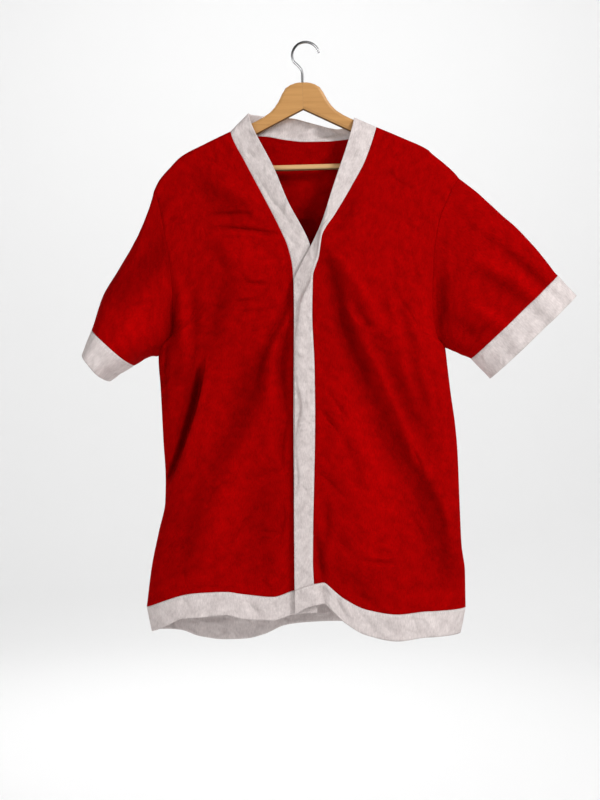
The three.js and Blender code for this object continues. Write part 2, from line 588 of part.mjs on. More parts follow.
// A closed wall from a grid: outer skin, inner skin and the edges between them
function wall(piece) {
  const { out, facing } = piece;
  const grid = drawBack(piece);
  const rows = grid.length;
  const columns = grid[0].length;
  const positions = [];
  for (const half of [CLOTH / 2, -CLOTH / 2]) {
    grid.forEach((row, i) => row.forEach((point, j) => {
      positions.push(...point.clone().addScaledVector(out[i][j], half).toArray());
    }));
  }
  const indices = [];
  const inner = rows * columns;
  const quad = (a, b, c, d) => {
    if (facing > 0) indices.push(a, b, c, a, c, d);
    else indices.push(a, c, b, a, d, c);
  };
  for (let i = 0; i < rows - 1; i += 1) {
    for (let j = 0; j < columns - 1; j += 1) {
      const [upper, lower] = [i * columns + j, (i + 1) * columns + j];
      quad(upper, lower, lower + 1, upper + 1);
      quad(inner + upper, inner + upper + 1, inner + lower + 1, inner + lower);
    }
  }
  // Both ways of closing an edge split it along the same diagonal, so that cut edges stay parallel
  const rim = (a, b) => quad(a, b, inner + b, inner + a);
  const farRim = (a, b) => quad(a, inner + a, inner + b, b);
  for (let j = 0; j < columns - 1; j += 1) {
    const last = (rows - 1) * columns + j;
    rim(j, j + 1);
    farRim(last, last + 1);
  }
  for (let i = 0; i < rows - 1; i += 1) {
    farRim(i * columns, (i + 1) * columns);
    rim((i + 1) * columns - 1, (i + 2) * columns - 1);
  }
  const geometry = new THREE.BufferGeometry();
  geometry.setAttribute('position', new THREE.Float32BufferAttribute(positions, 3));
  geometry.setIndex(indices);
  return geometry;
}

// A closed geometry as a solid, and a solid as a geometry again
function toSolid(geometry) {
  const bare = geometry.clone();
  bare.deleteAttribute('normal');
  bare.deleteAttribute('uv');
  const merged = mergeVertices(bare, 1e-4);
  const vertProperties = new Float32Array(merged.attributes.position.array);
  const triVerts = new Uint32Array(merged.index.array);
  return new wasm.Manifold(new wasm.Mesh({ numProp: 3, vertProperties, triVerts }));
}

function fromSolid(solid) {
  const mesh = solid.getMesh();
  const geometry = new THREE.BufferGeometry();
  geometry.setAttribute('position', new THREE.BufferAttribute(mesh.vertProperties, 3));
  geometry.setIndex(new THREE.BufferAttribute(mesh.triVerts, 1));
  return geometry;
}

// Outline of both arms in one, seen from the front
function armOutline() {
  const tops = [6, 14, 22, 30, 36, 43, 50, 58, 70, 82, 104, 127, 151, 175, 195, 206];
  const unders = [205, 193, 182, 171, 160, 144, 127, 104, 81, 40];
  const half = [
    ...tops.map((x) => [x, read(ARM_TOP, 'z', 'x', x)]),
    [213, -130], [215, -140], [215, -152], [212, -161],
    ...unders.map((x) => [x, read(ARM_UNDER, 'z', 'x', x)]),
  ];
  const mirrored = half.slice().reverse().map(([x, z]) => [-x, z]);
  const points = [...half, [0, ARM_UNDER[0].z], ...mirrored];
  return new THREE.Shape(points.map(([x, z]) => new THREE.Vector2(x, z)));
}

// The wooden arms: one outline with rounded edges, cut down the middle, bored for stem and bar
function arms() {
  const bevel = { size: 5, thickness: 4.5 };
  const geometry = new THREE.ExtrudeGeometry(armOutline(), {
    depth: ARM_THICK - 2 * bevel.thickness, curveSegments: 1, bevelEnabled: true, bevelSegments: 2,
    bevelSize: bevel.size, bevelThickness: bevel.thickness, bevelOffset: -bevel.size,
  });
  geometry.rotateX(Math.PI / 2);
  geometry.translate(0, ARM_THICK / 2 - bevel.thickness, 0);
  const boreRadius = WIRE_RADIUS + FIT_GAP;
  const bore = new THREE.CylinderGeometry(boreRadius, boreRadius, 2 * STEM_DEPTH + 2, 16);
  bore.rotateX(Math.PI / 2);
  let wood = toSolid(geometry).subtract(toSolid(bore));
  for (const way of [-1, 1]) {
    const socket = new THREE.CylinderGeometry(
      BAR_TENON_RADIUS + FIT_GAP, BAR_TENON_RADIUS + FIT_GAP, BAR_END + FIT_GAP - BAR_SHOULDER, 16);
    socket.rotateZ(Math.PI / 2);
    socket.translate((way * (BAR_END + FIT_GAP + BAR_SHOULDER)) / 2, 0, BAR_Z);
    wood = wood.subtract(toSolid(socket));
  }
  const half = (way) => {
    const block = new THREE.BoxGeometry(2 * ARM_REACH, 4 * ARM_THICK, 400);
    block.translate(way * (ARM_REACH + FIT_GAP / 2), 0, 0);
    return fromSolid(wood.intersect(toSolid(block)));
  };
  return { right: half(-1), left: half(1) };
}

// The trouser bar, turned down at both ends to fit its sockets
function bar() {
  const profile = [
    [0, -BAR_END], [BAR_TENON_RADIUS - BAR_CHAMFER, -BAR_END], [BAR_TENON_RADIUS, -BAR_END + BAR_CHAMFER],
    [BAR_TENON_RADIUS, -BAR_SHOULDER], [BAR_RADIUS - BAR_CHAMFER, -BAR_SHOULDER],
    [BAR_RADIUS, -BAR_SHOULDER + BAR_CHAMFER],
  ];
  const other = profile.slice().reverse().map(([radius, along]) => [radius, -along]);
  const points = [...profile, ...other].map(([radius, along]) => new THREE.Vector2(radius, along));
  const geometry = new THREE.LatheGeometry(points, 14);
  geometry.rotateZ(Math.PI / 2);
  geometry.translate(0, 0, BAR_Z);
  return geometry;
}

// The hook's wire: round from its tip over the top, then aslant to its stem in the wood
function hook() {
  const origin = new THREE.Vector3(HANGER_X, 0, HANGER_Z);
  const upright = new THREE.Vector3(0, 1, 0);
  const local = (x, z) => new THREE.Vector3(x, 0, z).sub(origin).applyAxisAngle(upright, HANGER_TILT);
  const centre = -(HOOK_RADIUS - WIRE_RADIUS);
  const points = [];
  for (let angle = 12; angle <= 204; angle += 16) {
    const turn = THREE.MathUtils.degToRad(angle);
    points.push(local(HOOK_RADIUS * Math.cos(turn), centre + HOOK_RADIUS * Math.sin(turn)));
  }
  points.push(local(-13.5, -39), local(-7.6, -46.5));
  points.push(new THREE.Vector3(0, 0, 14), new THREE.Vector3(0, 0, 6));
  points.push(new THREE.Vector3(0, 0, -8), new THREE.Vector3(0, 0, -STEM_DEPTH));
  const path = new THREE.CatmullRomCurve3(points, false, 'centripetal');
  const section = new THREE.Shape();
  const sides = 10;
  for (let k = 0; k < sides; k += 1) {
    const turn = (2 * Math.PI * k) / sides;
    const corner = [WIRE_RADIUS * Math.cos(turn), WIRE_RADIUS * Math.sin(turn)];
    if (k === 0) section.moveTo(...corner);
    else section.lineTo(...corner);
  }
  return new THREE.ExtrudeGeometry(section, { steps: 44, bevelEnabled: false, extrudePath: path });
}

function material(color, roughness, metalness = 0) {
  return new THREE.MeshStandardMaterial({ color, roughness, metalness });
}

function named(name, geometry, look) {
  const mesh = new THREE.Mesh(geometry, look);
  mesh.name = name;
  return mesh;
}

function hanger() {
  const group = new THREE.Group();
  group.position.set(HANGER_X, 0, HANGER_Z);
  group.rotation.y = -HANGER_TILT;
  const wood = arms();
  group.add(named('hanger_arm_right', wood.right, material(WOOD, 0.45)));
  group.add(named('hanger_arm_left', wood.left, material(WOOD, 0.45)));
  group.add(named('hanger_bar', bar(), material(BAR_WOOD, 0.5)));
  group.add(named('hanger_hook', hook(), material(STEEL, 0.2, 1)));
  return group;
}

function coat() {
  const group = new THREE.Group();
  const pieces = cloth();
  for (const piece of pieces) piece.out = directions(piece);
  shareDirections(pieces);
  for (const piece of pieces.flatMap(blocks)) {
    group.add(named(piece.name, wall(piece), material(piece.color, piece.color === RED ? 0.95 : 0.85)));
  }
  return group;
}

const model = new THREE.Group();
model.add(hanger(), coat());

export default model;
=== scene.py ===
# %% [markdown]
# A red felt costume coat with white trim, hanging open-fronted on a wooden hanger.
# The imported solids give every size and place. This script dresses them: each cloth piece gets
# a finer sheet on the same form, with its creases, stitches and nap, and the hanger gets its
# wood and chrome. Lengths in the tables are millimetres, as a maker would write them; MM turns
# them into Blender's metres when a mesh is made. "Right" and "left" are the wearer's.

import math

import bmesh
import bpy
from mathutils import Matrix, Vector, noise


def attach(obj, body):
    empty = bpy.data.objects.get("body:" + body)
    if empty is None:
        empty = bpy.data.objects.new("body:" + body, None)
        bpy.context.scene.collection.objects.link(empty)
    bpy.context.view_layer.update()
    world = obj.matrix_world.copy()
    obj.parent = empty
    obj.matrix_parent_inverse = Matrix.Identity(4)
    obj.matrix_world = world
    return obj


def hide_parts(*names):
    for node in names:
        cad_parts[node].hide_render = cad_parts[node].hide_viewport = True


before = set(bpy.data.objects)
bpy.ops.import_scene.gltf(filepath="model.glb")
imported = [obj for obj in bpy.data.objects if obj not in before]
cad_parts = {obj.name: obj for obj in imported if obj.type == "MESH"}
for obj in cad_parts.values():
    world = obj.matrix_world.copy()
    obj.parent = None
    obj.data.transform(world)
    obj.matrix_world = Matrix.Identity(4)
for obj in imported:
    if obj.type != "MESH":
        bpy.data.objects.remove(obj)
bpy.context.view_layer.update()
MM = 0.001
print("solids:", len(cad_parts))

# %% [markdown]
# The camera stands level in front of the coat, two metres off, because the photograph shows the
# hanger's bar and the hem with no tilt. The lens takes in 1.4 metres of height at the hanger.

# %% The camera
CAMERA_DISTANCE = 2.0
VIEW_HEIGHT = 1.4
SENSOR_HEIGHT = 36
CAMERA_SPOT = Vector((-0.0098, -CAMERA_DISTANCE, -0.6242))


def place_camera():
    lens = bpy.data.cameras.new("camera")
    lens.sensor_fit = "VERTICAL"
    lens.sensor_height = SENSOR_HEIGHT
    lens.lens = SENSOR_HEIGHT / 2 / (VIEW_HEIGHT / 2 / CAMERA_DISTANCE)
    camera = bpy.data.objects.new("camera", lens)
    camera.location = CAMERA_SPOT
    camera.rotation_euler = (math.radians(90), 0, 0)
    bpy.context.collection.objects.link(camera)
    bpy.context.scene.camera = camera
    return lens.lens


print("lens in millimetres:", round(place_camera(), 1))

# %% [markdown]
# The coat hangs in a plain pale room: a wide floor well below the hem that sweeps up into a
# round wall, as in a photographer's studio, so no line shows behind the coat from any side. It
# is one profile spun round, which is quicker than modelling a box and rounding its corners.

# %% The room
FLOOR_DEPTH = -1.9
ROOM_RADIUS = 6.0
SWEEP_RADIUS = 2.0
SWEEP_STEPS = 12
WALL_TOP = 4.0
ROOM_PAINT = (0.88, 0.88, 0.88, 1)


def room_profile():
    """Radius and height along the floor, round the sweep and up the wall."""
    flat = ROOM_RADIUS - SWEEP_RADIUS
    profile = [(0.001, FLOOR_DEPTH), (flat, FLOOR_DEPTH)]
    for k in range(1, SWEEP_STEPS + 1):
        turn = math.pi / 2 * k / SWEEP_STEPS
        profile.append((flat + SWEEP_RADIUS * math.sin(turn),
                        FLOOR_DEPTH + SWEEP_RADIUS * (1 - math.cos(turn))))
    return profile + [(ROOM_RADIUS, WALL_TOP)]


def make_piece(name, bm):
    """A finished bmesh as one object at the origin."""
    mesh = bpy.data.meshes.new(name)
    bm.to_mesh(mesh)
    bm.free()
    o = bpy.data.objects.new(name, mesh)
    bpy.context.collection.objects.link(o)
    return o


def pale_paint():
    paint = bpy.data.materials.new("pale_room")
    paint.use_nodes = True
    shader = paint.node_tree.nodes["Principled BSDF"]
    shader.inputs["Base Color"].default_value = ROOM_PAINT
    shader.inputs["Roughness"].default_value = 0.95
    shader.inputs["Specular IOR Level"].default_value = 0.0
    return paint


def build_room():
    bm = bmesh.new()
    line = [bm.verts.new((radius, 0, height)) for radius, height in room_profile()]
    edges = [bm.edges.new(pair) for pair in zip(line, line[1:])]
    bmesh.ops.spin(bm, geom=line + edges, cent=(0, 0, 0), axis=(0, 0, 1), angle=2 * math.pi,
                   steps=64, use_duplicate=False)
    bmesh.ops.remove_doubles(bm, verts=bm.verts, dist=0.002)
    bmesh.ops.recalc_face_normals(bm, faces=bm.faces)
    o = make_piece("room", bm)
    o.data.shade_smooth()
    o.data.materials.append(pale_paint())
    print("room's faces:", len(o.data.polygons))


build_room()

# %% [markdown]
# Cloth shows its folds by soft light from one side. So a window-like lamp stands at the viewer's
# upper right, a weak one fills on the other side, and one behind lights the back. Two more are
# turned to the walls, whose paint sends their light back softly. No lamp shows in a picture.

# %% The light
COAT_MIDDLE = (0, 0, -0.55)
SKY_STRENGTH = 0.3
LAMPS = (
    ("window", (2.3, -1.9, 1.5), 0.8, 89, COAT_MIDDLE),
    ("fill", (-1.8, -2.8, -0.4), 1.4, 13, COAT_MIDDLE),
    ("back", (-0.8, 3.0, 1.2), 1.6, 45, COAT_MIDDLE),
    ("wall behind", (0, 2.6, 2.6), 2.5, 78, (0, 6, -0.8)),
    ("wall before", (0, -3.0, 2.6), 2.5, 38, (0, -6, -0.6)),
)


def lamp(name, spot, size, watts, target):
    light = bpy.data.lights.new(name, "AREA")
    light.size = size
    light.energy = watts
    o = bpy.data.objects.new(name, light)
    o.location = spot
    o.rotation_euler = (Vector(target) - Vector(spot)).to_track_quat("-Z", "Y").to_euler()
    o.visible_camera = False
    bpy.context.collection.objects.link(o)


def pale_sky():
    world = bpy.data.worlds.new("sky")
    bpy.context.scene.world = world
    world.use_nodes = True
    sky = world.node_tree.nodes["Background"]
    sky.inputs["Color"].default_value = (1.0, 1.0, 1.0, 1)
    sky.inputs["Strength"].default_value = SKY_STRENGTH


pale_sky()
for row in LAMPS:
    lamp(*row)
bpy.context.scene.view_settings.view_transform = "Standard"
print("watts in all:", sum(watts for _, _, _, watts, _ in LAMPS))

# %% [markdown]
# A garment is cut from a paper pattern: a few measured edges, and between them flat cloth that
# folds as it hangs. The sheets here are made the same way. Short tables give the edges, a row
# for each place where an edge turns, and these readers turn a table into a smooth line.

# %% Tables and how they are read
def table(columns, *rows):
    """Rows of numbers as a list of dictionaries, by the columns' names."""
    names = columns.split()
    return [dict(zip(names, row)) for row in rows]


def mix(a, b, share):
    return a + (b - a) * share


def clamp(value, low=0.0, high=1.0):
    return min(high, max(low, value))


def ease(start, end, at):
    """From 0 at the start to 1 at the end, with no corner at either."""
    u = clamp((at - start) / (end - start))
    return u * u * (3 - 2 * u)


def bell(distance, width):
    """One at no distance, and fading round over the width."""
    return math.exp(-((distance / width) ** 2))


def read(rows, column, key, at):
    """One column as a smooth curve through its rows, by another that only rises or only falls."""
    last = len(rows) - 1
    way = 1 if rows[last][key] > rows[0][key] else -1
    k = 0
    while k < last - 1 and (at - rows[k + 1][key]) * way > 0:
        k += 1

    def slope(n):
        return (rows[n + 1][column] - rows[n][column]) / (rows[n + 1][key] - rows[n][key])

    def lean(n):
        if n <= 0:
            return slope(0)
        if n >= last:
            return slope(last - 1)
        before, after = slope(n - 1), slope(n)
        return 2 * before * after / (before + after) if before * after > 0 else 0.0

    run = rows[k + 1][key] - rows[k][key]
    u = clamp((at - rows[k][key]) / run)
    bend = u * (1 - u) * ((1 - u) * lean(k) - u * lean(k + 1))
    return mix(rows[k][column], rows[k + 1][column], u * u * (3 - 2 * u)) + bend * run


print("halfway:", read(table("at is", (0, 0), (2, 4)), "is", "at", 1))

# %% [markdown]
# The coat hangs on the hanger's two arms. The cloth bends over their rounded tops, falls off
# their ends, and drops. `seat` gives the height of the cloth over the arms, and `wrap` how far
# it has come forward after it has dropped a little from there.

# %% The hanger under the cloth
HANGER_TILT = math.radians(1.6)
HANGER_X = -5.5
HANGER_Z = -68
WRAP_RADIUS = 8.2
CLOTH_LIFT = 2.1
ARM_TOP = table("x z", (0, 0), (14, -2), (30, -10), (43, -33), (56, -50), (82, -66), (127, -85.3),
                (175, -107), (215, -127))
RIGHT_FALL = table("x z", (235, -146), (254, -167), (262.6, -183), (265, -189), (272, -206))
LEFT_FALL = table("x z", (222, -134), (243, -152), (263, -172), (274, -188))


def wrap(drop):
    fall = clamp(drop, 0, WRAP_RADIUS)
    return math.sqrt(2 * WRAP_RADIUS * fall - fall * fall)


def seat(x):
    sin = math.sin(HANGER_TILT)
    over = ARM_TOP + (RIGHT_FALL if x < HANGER_X else LEFT_FALL)
    local = x - HANGER_X
    local += read(over, "z", "x", abs(local)) * sin
    return HANGER_Z + read(over, "z", "x", abs(local)) + local * sin + CLOTH_LIFT


print("cloth over the arm at 150 mm:", round(seat(150), 1))

# %% [markdown]
# The pattern's edges, measured from the front. `out` says how far the cloth stands forward of
# the arms. The left front laps over the right, and its band is rolled, so a crest wanders
# across it from the free edge to the seam and back.

# %% Edges of the fronts
RIGHT_SEAM = table("z x out", (-155, -131, 0), (-164, -129, 0), (-210, -106, 8), (-281, -69, 20),
                   (-322, -48, 26), (-364, -30, 31), (-400, -22.5, 33), (-453, -20, 34),
                   (-660, -21, 32), (-800, -20, 33), (-950, -17, 35))
RIGHT_FREE = table("z x out", (-123, -99.5, 0), (-133, -98, 2), (-147, -93, 5), (-223, -55, 17),
                   (-279, -32, 25), (-360, 8, 33), (-400, 17, 34), (-453, 18, 34), (-660, 17, 32),
                   (-800, 18, 33), (-948, 20, 35))
LEFT_SEAM = table("z x out", (-148, 123.5, 0), (-160, 120, 1), (-209, 103, 10), (-255, 79, 20),
                  (-305, 50, 34), (-344, 27, 46), (-378, 22, 50), (-418, 11.5, 49), (-474, 11, 45),
                  (-570, 15, 42), (-658, 16, 41), (-898, 12, 43), (-938, 14, 45))
LEFT_FREE = table("z x out", (-131, 85, 0), (-144, 82, 4), (-190, 69, 12), (-226, 57, 18),
                  (-269, 43, 26), (-315, 29, 34), (-362, 8, 38), (-394, -8.5, 39), (-424, -20.5, 40),
                  (-474, -20, 40), (-660, -19, 39), (-800, -20, 40), (-949, -19, 42))
LEFT_CREST = table("z x lift", (-283, 38, 0), (-345, 25.5, 3), (-382, 21.7, 5), (-420, 10, 7),
                   (-461, -8.6, 6), (-546, -16.6, 3), (-593, -13.2, 3), (-636, -5.4, 4),
                   (-692, -15, 3), (-762, -10.3, 3), (-805, -20, 0))
RIGHT_OUTER = table("z x front back", (-262, -265, 0, 0), (-276, -258, 1, 1), (-322, -247, 12, 6),
                    (-384, -236, 16, 10), (-444, -231, 11, 12), (-500, -231.5, 8, 13),
                    (-522, -240, 14, 13), (-536, -253, 20, 13), (-551, -256.5, 22, 14),
                    (-602, -253, 24, 15), (-695, -248, 30, 18), (-762, -244, 34, 20),
                    (-800, -244.5, 36, 20), (-855, -256, 36, 22), (-914, -268, 36, 24),
                    (-985, -277, 36, 24))
LEFT_OUTER = table("z x front back", (-239, 268, 0, 0), (-247, 260, 1, 1), (-268, 249, 4, 2),
                   (-320, 229, 14, 6), (-382, 221, 17, 10), (-434, 220, 10, 12), (-486, 223, 7, 13),
                   (-518, 231, 14, 13), (-532, 243, 22, 13), (-563, 247, 22, 14), (-612, 253, 24, 15),
                   (-669, 261, 26, 17), (-715, 265, 28, 18), (-813, 269, 34, 20), (-877, 272, 36, 22),
                   (-923, 278, 38, 24), (-985, 279, 38, 24))
print("fronts' side seams end at", RIGHT_OUTER[-1]["x"], "and", LEFT_OUTER[-1]["x"])

# %% [markdown]
# The back has no opening, so its edges are the fronts' own side seams, the neck and the hem. The
# numbers after the tables say how full the coat hangs: how far a front's middle stands forward,
# how far the neck band stands off, and how far the hem draws in beside a side seam. `ARMPIT` is
# where the sleeve ends, as a share of the way down the side, and `PANEL_DROP` a panel's length,
# which spaces its rows.

# %% Edges of the back, the hem and the neck
BACK_MIDDLE = table("z out", (-120, 5), (-165, 7), (-250, 10), (-450, 15), (-700, 20), (-1000, 26))
RIGHT_HEM = table("x seam end", (20, -948, -988), (-17, -950, -990), (-56, -961, -1001),
                  (-106, -956, -998), (-136, -952, -991.5), (-182, -954, -996), (-208, -958, -998),
                  (-243, -970, -1012), (-277, -985, -1027))
LEFT_HEM = table("x seam end", (-19, -949, -991), (5, -940, -977), (31, -936, -972), (47, -948, -985),
                 (65, -962, -1002), (104, -981, -1024), (157, -989, -1034), (207, -985, -1029),
                 (279, -985, -1029))
BACK_HEM = table("x seam end", (-277, -985, -1027), (-221, -989, -1032), (-187, -1001, -1044),
                 (-143, -1006, -1050), (-107, -1005, -1049), (-74, -997, -1041), (-35, -982, -1025),
                 (26, -975, -1018), (66, -974, -1017), (150, -979, -1022), (220, -985, -1028),
                 (279, -985, -1029))
NECK = table("x seam edge_x edge", (-131, -155, -99.5, -123), (-123, -158.5, -88, -124),
             (-105, -160, -76, -124.5), (-70, -161, -52, -125.5), (-35, -166.5, -24, -127),
             (0, -169.5, 4, -134), (38, -169, 32, -142), (72, -166, 58, -146), (100, -160.5, 72, -144),
             (116, -155, 80, -139), (123.5, -148, 85, -131))
BELLY = 7
BAND_STAND = 11
HEM_SIDE_DRAW = 9
PANEL_DROP = 737
ARMPIT = 0.393
print("back's hem at its lowest:", min(row["end"] for row in BACK_HEM))

# %% [markdown]
# A sleeve is a flat tube. Each row is one ring of it: its highest point, its lowest one, and how
# far it bulges to the front and to the back. The left sleeve stays almost flat, as it was folded.
# The right one hangs open. A cuff's first ring is its sleeve's last one.

# %% Sleeves and cuffs
RIGHT_RINGS = table("top_x top_z under_x under_z front back", (-265, -262, -253, -536, 8, 8),
                    (-275, -297, -259, -540, 36, 28), (-289, -331, -265, -542, 50, 34),
                    (-306, -363, -272, -545, 64, 40), (-327, -401, -281, -550, 76, 46),
                    (-350, -444, -291, -557, 86, 50), (-368, -501, -301, -563, 92, 54))
RIGHT_CUFF = table("top_x top_z under_x under_z front back", (-368, -501, -301, -563, 92, 54),
                   (-376, -522, -323, -577, 95, 56), (-382, -543, -344, -591, 97, 58))
LEFT_RINGS = table("top_x top_z under_x under_z front back", (268, -239, 243, -532, 8, 8),
                   (303, -265, 250, -534, 34, 22), (334, -293, 257, -537, 35, 22),
                   (365, -321, 265, -540, 35, 22), (393, -350, 273, -544, 34, 21),
                   (418, -379, 281, -547, 33, 20), (440, -407, 290, -551, 31, 19))
LEFT_CUFF = table("top_x top_z under_x under_z front back", (440, -407, 290, -551, 31, 19),
                  (456.5, -424.5, 306.5, -568.5, 31, 19), (473, -442, 323, -586, 31, 19))
print("rings along a sleeve:", len(RIGHT_RINGS))

# %% [markdown]
# Felt of this kind keeps its creases. Each row is one crease on the front view: how wide it is,
# how high it stands (a trough is negative), and the line that it follows. The first rows of each
# table are the large folds that hang from the hanger's ends and from the crossing of the bands;
# the rest are the sharp little ones left from packing.

# %% Creases of the right front
RIGHT_CREASES = table(
    "width height line",
    (22, -8.8, [(-216, -234), (-189, -242), (-163, -271), (-129, -292), (-86, -296)]),
    (16, 5, [(-176, -239), (-139, -252), (-108, -271), (-81, -290), (-66, -310)]),
    (30, -16.2, [(-60, -530), (-84, -574), (-108, -642), (-132, -700), (-165, -770)]),
    (24, -11.2, [(-129, -690), (-158, -732), (-179, -785), (-195, -835), (-213, -893), (-246, -935)]),
    (20, 5, [(-68, -606), (-87, -648), (-118, -714), (-139, -774)]),
    (14, 6.2, [(-52, -505), (-58, -550), (-64, -600), (-68, -650)]),
    (10, -11.2, [(-24, -492), (-37, -529), (-43, -563), (-40, -605), (-34, -660)]),
    (8, -8.8, [(-14, -425), (-24, -442), (-35, -462), (-47, -492), (-62, -520), (-80, -563),
             (-92, -605)]),
    (13, -5.2, [(-174, -346), (-160, -366), (-147, -388), (-132, -404), (-114, -411)]),
    (18, -7.5, [(-150, -400), (-143, -442), (-155, -476), (-163, -510), (-170, -555)]),
    (26, 6.2, [(-153, -358), (-108, -379), (-66, -396)]),
    (10, 6.2, [(-221, -400), (-216, -450), (-212, -500), (-208, -560)]),
    (9, -5, [(-197, -447), (-191, -497), (-195, -550), (-200, -589)]),
    (40, 7.5, [(-120, -600), (-150, -700), (-165, -800), (-160, -900)]),
    (26, -7.5, [(-70, -720), (-78, -800), (-84, -960)]),
    (3.6, -5.4, [(-179, -300), (-147, -302), (-95, -301)]),
    (3.2, 3.2, [(-152, -295), (-87, -294)]),
    (4, -7.2, [(-176, -329), (-150, -326), (-134, -327), (-92, -331), (-44, -340)]),
    (4, 3.6, [(-165, -337), (-92, -340), (-48, -349)]),
    (3, -2, [(-95, -363), (-58, -346)]),
    (3.4, -4.4, [(-106, -423), (-64, -425)]),
    (3, 2.8, [(-104, -417), (-62, -418)]),
    (3.4, -4.8, [(-126, -456), (-82, -452)]),
    (3, 2.6, [(-122, -449), (-84, -446)]),
    (3.2, -3.8, [(-129, -473), (-81, -471), (-42, -463)]),
    (3, -2.4, [(-168, -463), (-145, -464)]),
    (4, -2.7, [(-113, -502), (-94, -490), (-76, -487)]),
    (3, -2, [(-100, -512), (-70, -497)]),
    (3, -2.4, [(-195, -495), (-163, -502)]),
    (3, -2, [(-188, -512), (-160, -508)]),
    (3.4, -3.4, [(-242, -317), (-217, -307)]),
    (4, -14, [(-240, -520), (-244, -572), (-242, -652)]),
    (5, -4.1, [(-129, -758), (-158, -778), (-170, -808)]),
    (5, -4.4, [(-80, -803), (-108, -835), (-129, -869), (-150, -880)]),
    (3.2, -3.1, [(-84, -849), (-47, -852)]),
    (3.2, 2.5, [(-87, -855), (-50, -858)]),
    (5, -3.1, [(-78, -751), (-60, -746), (-40, -744)]),
    (4, -4.1, [(-41, -788), (-37, -827), (-46, -874)]),
    (6, -6.8, [(-28, -645), (-38, -682), (-42, -721), (-36, -752)]),
    (3, -2.7, [(-189, -943), (-118, -945)]),
    (6, -3.1, [(-112, -882), (-129, -908), (-142, -918)]),
    (4, -2.7, [(-78, -934), (-56, -949)]),
    (5, 2.4, [(-92, -774), (-58, -758)]),
    (5, -2.4, [(-210, -905), (-206, -950)]),
    (7, -8, [(-225, -435), (-229, -480), (-232, -515), (-243, -548)]),
)
print("creases of the right front:", len(RIGHT_CREASES))

# %% [markdown]
# The left front laps over the right one. Its long folds run from the crossing of the bands down
# to the side, where the cloth has most room to hang.

# %% Creases of the left front
LEFT_CREASES = table(
    "width height line",
    (15, -15.6, [(14, -362), (30, -384), (44, -402), (50, -440), (58, -476), (78, -540),
               (106, -612)]),
    (22, -14, [(80, -540), (109, -616), (141, -687), (167, -737), (200, -788), (222, -830)]),
    (26, -15, [(180, -756), (205, -800), (226, -852), (240, -905), (264, -955)]),
    (9, -6.2, [(70, -439), (91, -476), (111, -508), (125, -525)]),
    (15, -10, [(111, -508), (136, -545), (154, -595), (178, -642), (207, -690), (226, -740)]),
    (10, 6.2, [(44, -378), (69, -402), (90, -426), (108, -458), (125, -495)]),
    (6, 4.4, [(62, -458), (86, -494), (128, -517)]),
    (9, 4.2, [(88, -505), (125, -571), (146, -616), (167, -663), (190, -710)]),
    (11, 5, [(159, -671), (183, -706), (202, -740), (220, -769)]),
    (8, 5, [(216, -762), (238, -798), (248, -840), (252, -890)]),
    (14, 5, [(146, -716), (178, -774), (202, -832), (226, -890)]),
    (10, 3.8, [(141, -440), (160, -510), (170, -563), (186, -620)]),
    (8, -4.2, [(121, -444), (146, -481), (162, -508)]),
    (11, -6.2, [(156, -425), (170, -479), (180, -537), (191, -600), (211, -664)]),
    (16, -6.2, [(86, -250), (75, -281), (59, -321), (40, -352)]),
    (8, -5, [(236, -395), (240, -425), (246, -455)]),
    (12, 5, [(208, -400), (204, -450), (209, -500), (222, -560)]),
    (46, 7.5, [(50, -560), (80, -680), (110, -800), (130, -930)]),
    (4, -3.4, [(140, -221), (157, -243), (180, -257)]),
    (4, -2.7, [(76, -371), (98, -371)]),
    (4, -2.7, [(173, -320), (197, -334)]),
    (3, -2.7, [(147, -413), (169, -414)]),
    (3, -2, [(178, -413), (209, -410)]),
    (4, -3.7, [(180, -701), (200, -742)]),
    (8, -3.8, [(190, -580), (202, -621), (214, -668)]),
    (7, -3, [(223, -600), (229, -635), (235, -670)]),
    (4, -3.4, [(36, -608), (57, -637), (80, -668)]),
    (5, -4.1, [(20, -632), (36, -656), (56, -680)]),
    (13, -6.2, [(60, -685), (78, -720), (87, -750), (92, -782)]),
    (6, -4.4, [(18, -744), (41, -764), (65, -788)]),
    (7, -5, [(32, -792), (36, -840), (28, -892)]),
    (10, -3.8, [(43, -846), (62, -872), (84, -898)]),
    (7, -9, [(16, -846), (23, -893), (32, -945)]),
    (20, -6.2, [(30, -918), (78, -932), (118, -972)]),
    (3.4, -3.7, [(101, -897), (125, -901), (156, -901)]),
    (3.4, 2.4, [(101, -891), (154, -894)]),
    (5, -4.1, [(176, -812), (194, -843), (217, -878)]),
    (3, -2.4, [(183, -800), (205, -835)]),
    (7, -3.8, [(86, -954), (125, -979)]),
    (3, -2, [(107, -879), (148, -881)]),
    (3, -1.7, [(110, -866), (145, -867)]),
    (4, -2.7, [(225, -905), (236, -945)]),
)
print("creases of the left front:", len(LEFT_CREASES))

# %% [markdown]
# The right sleeve sags inwards along one broad fold, and the left one is dented along its length,
# as it was folded. A trough down each armhole draws the cloth in where the sleeve turns off the
# body. The photo doesn't show the back, so it has a few plain hanging folds.

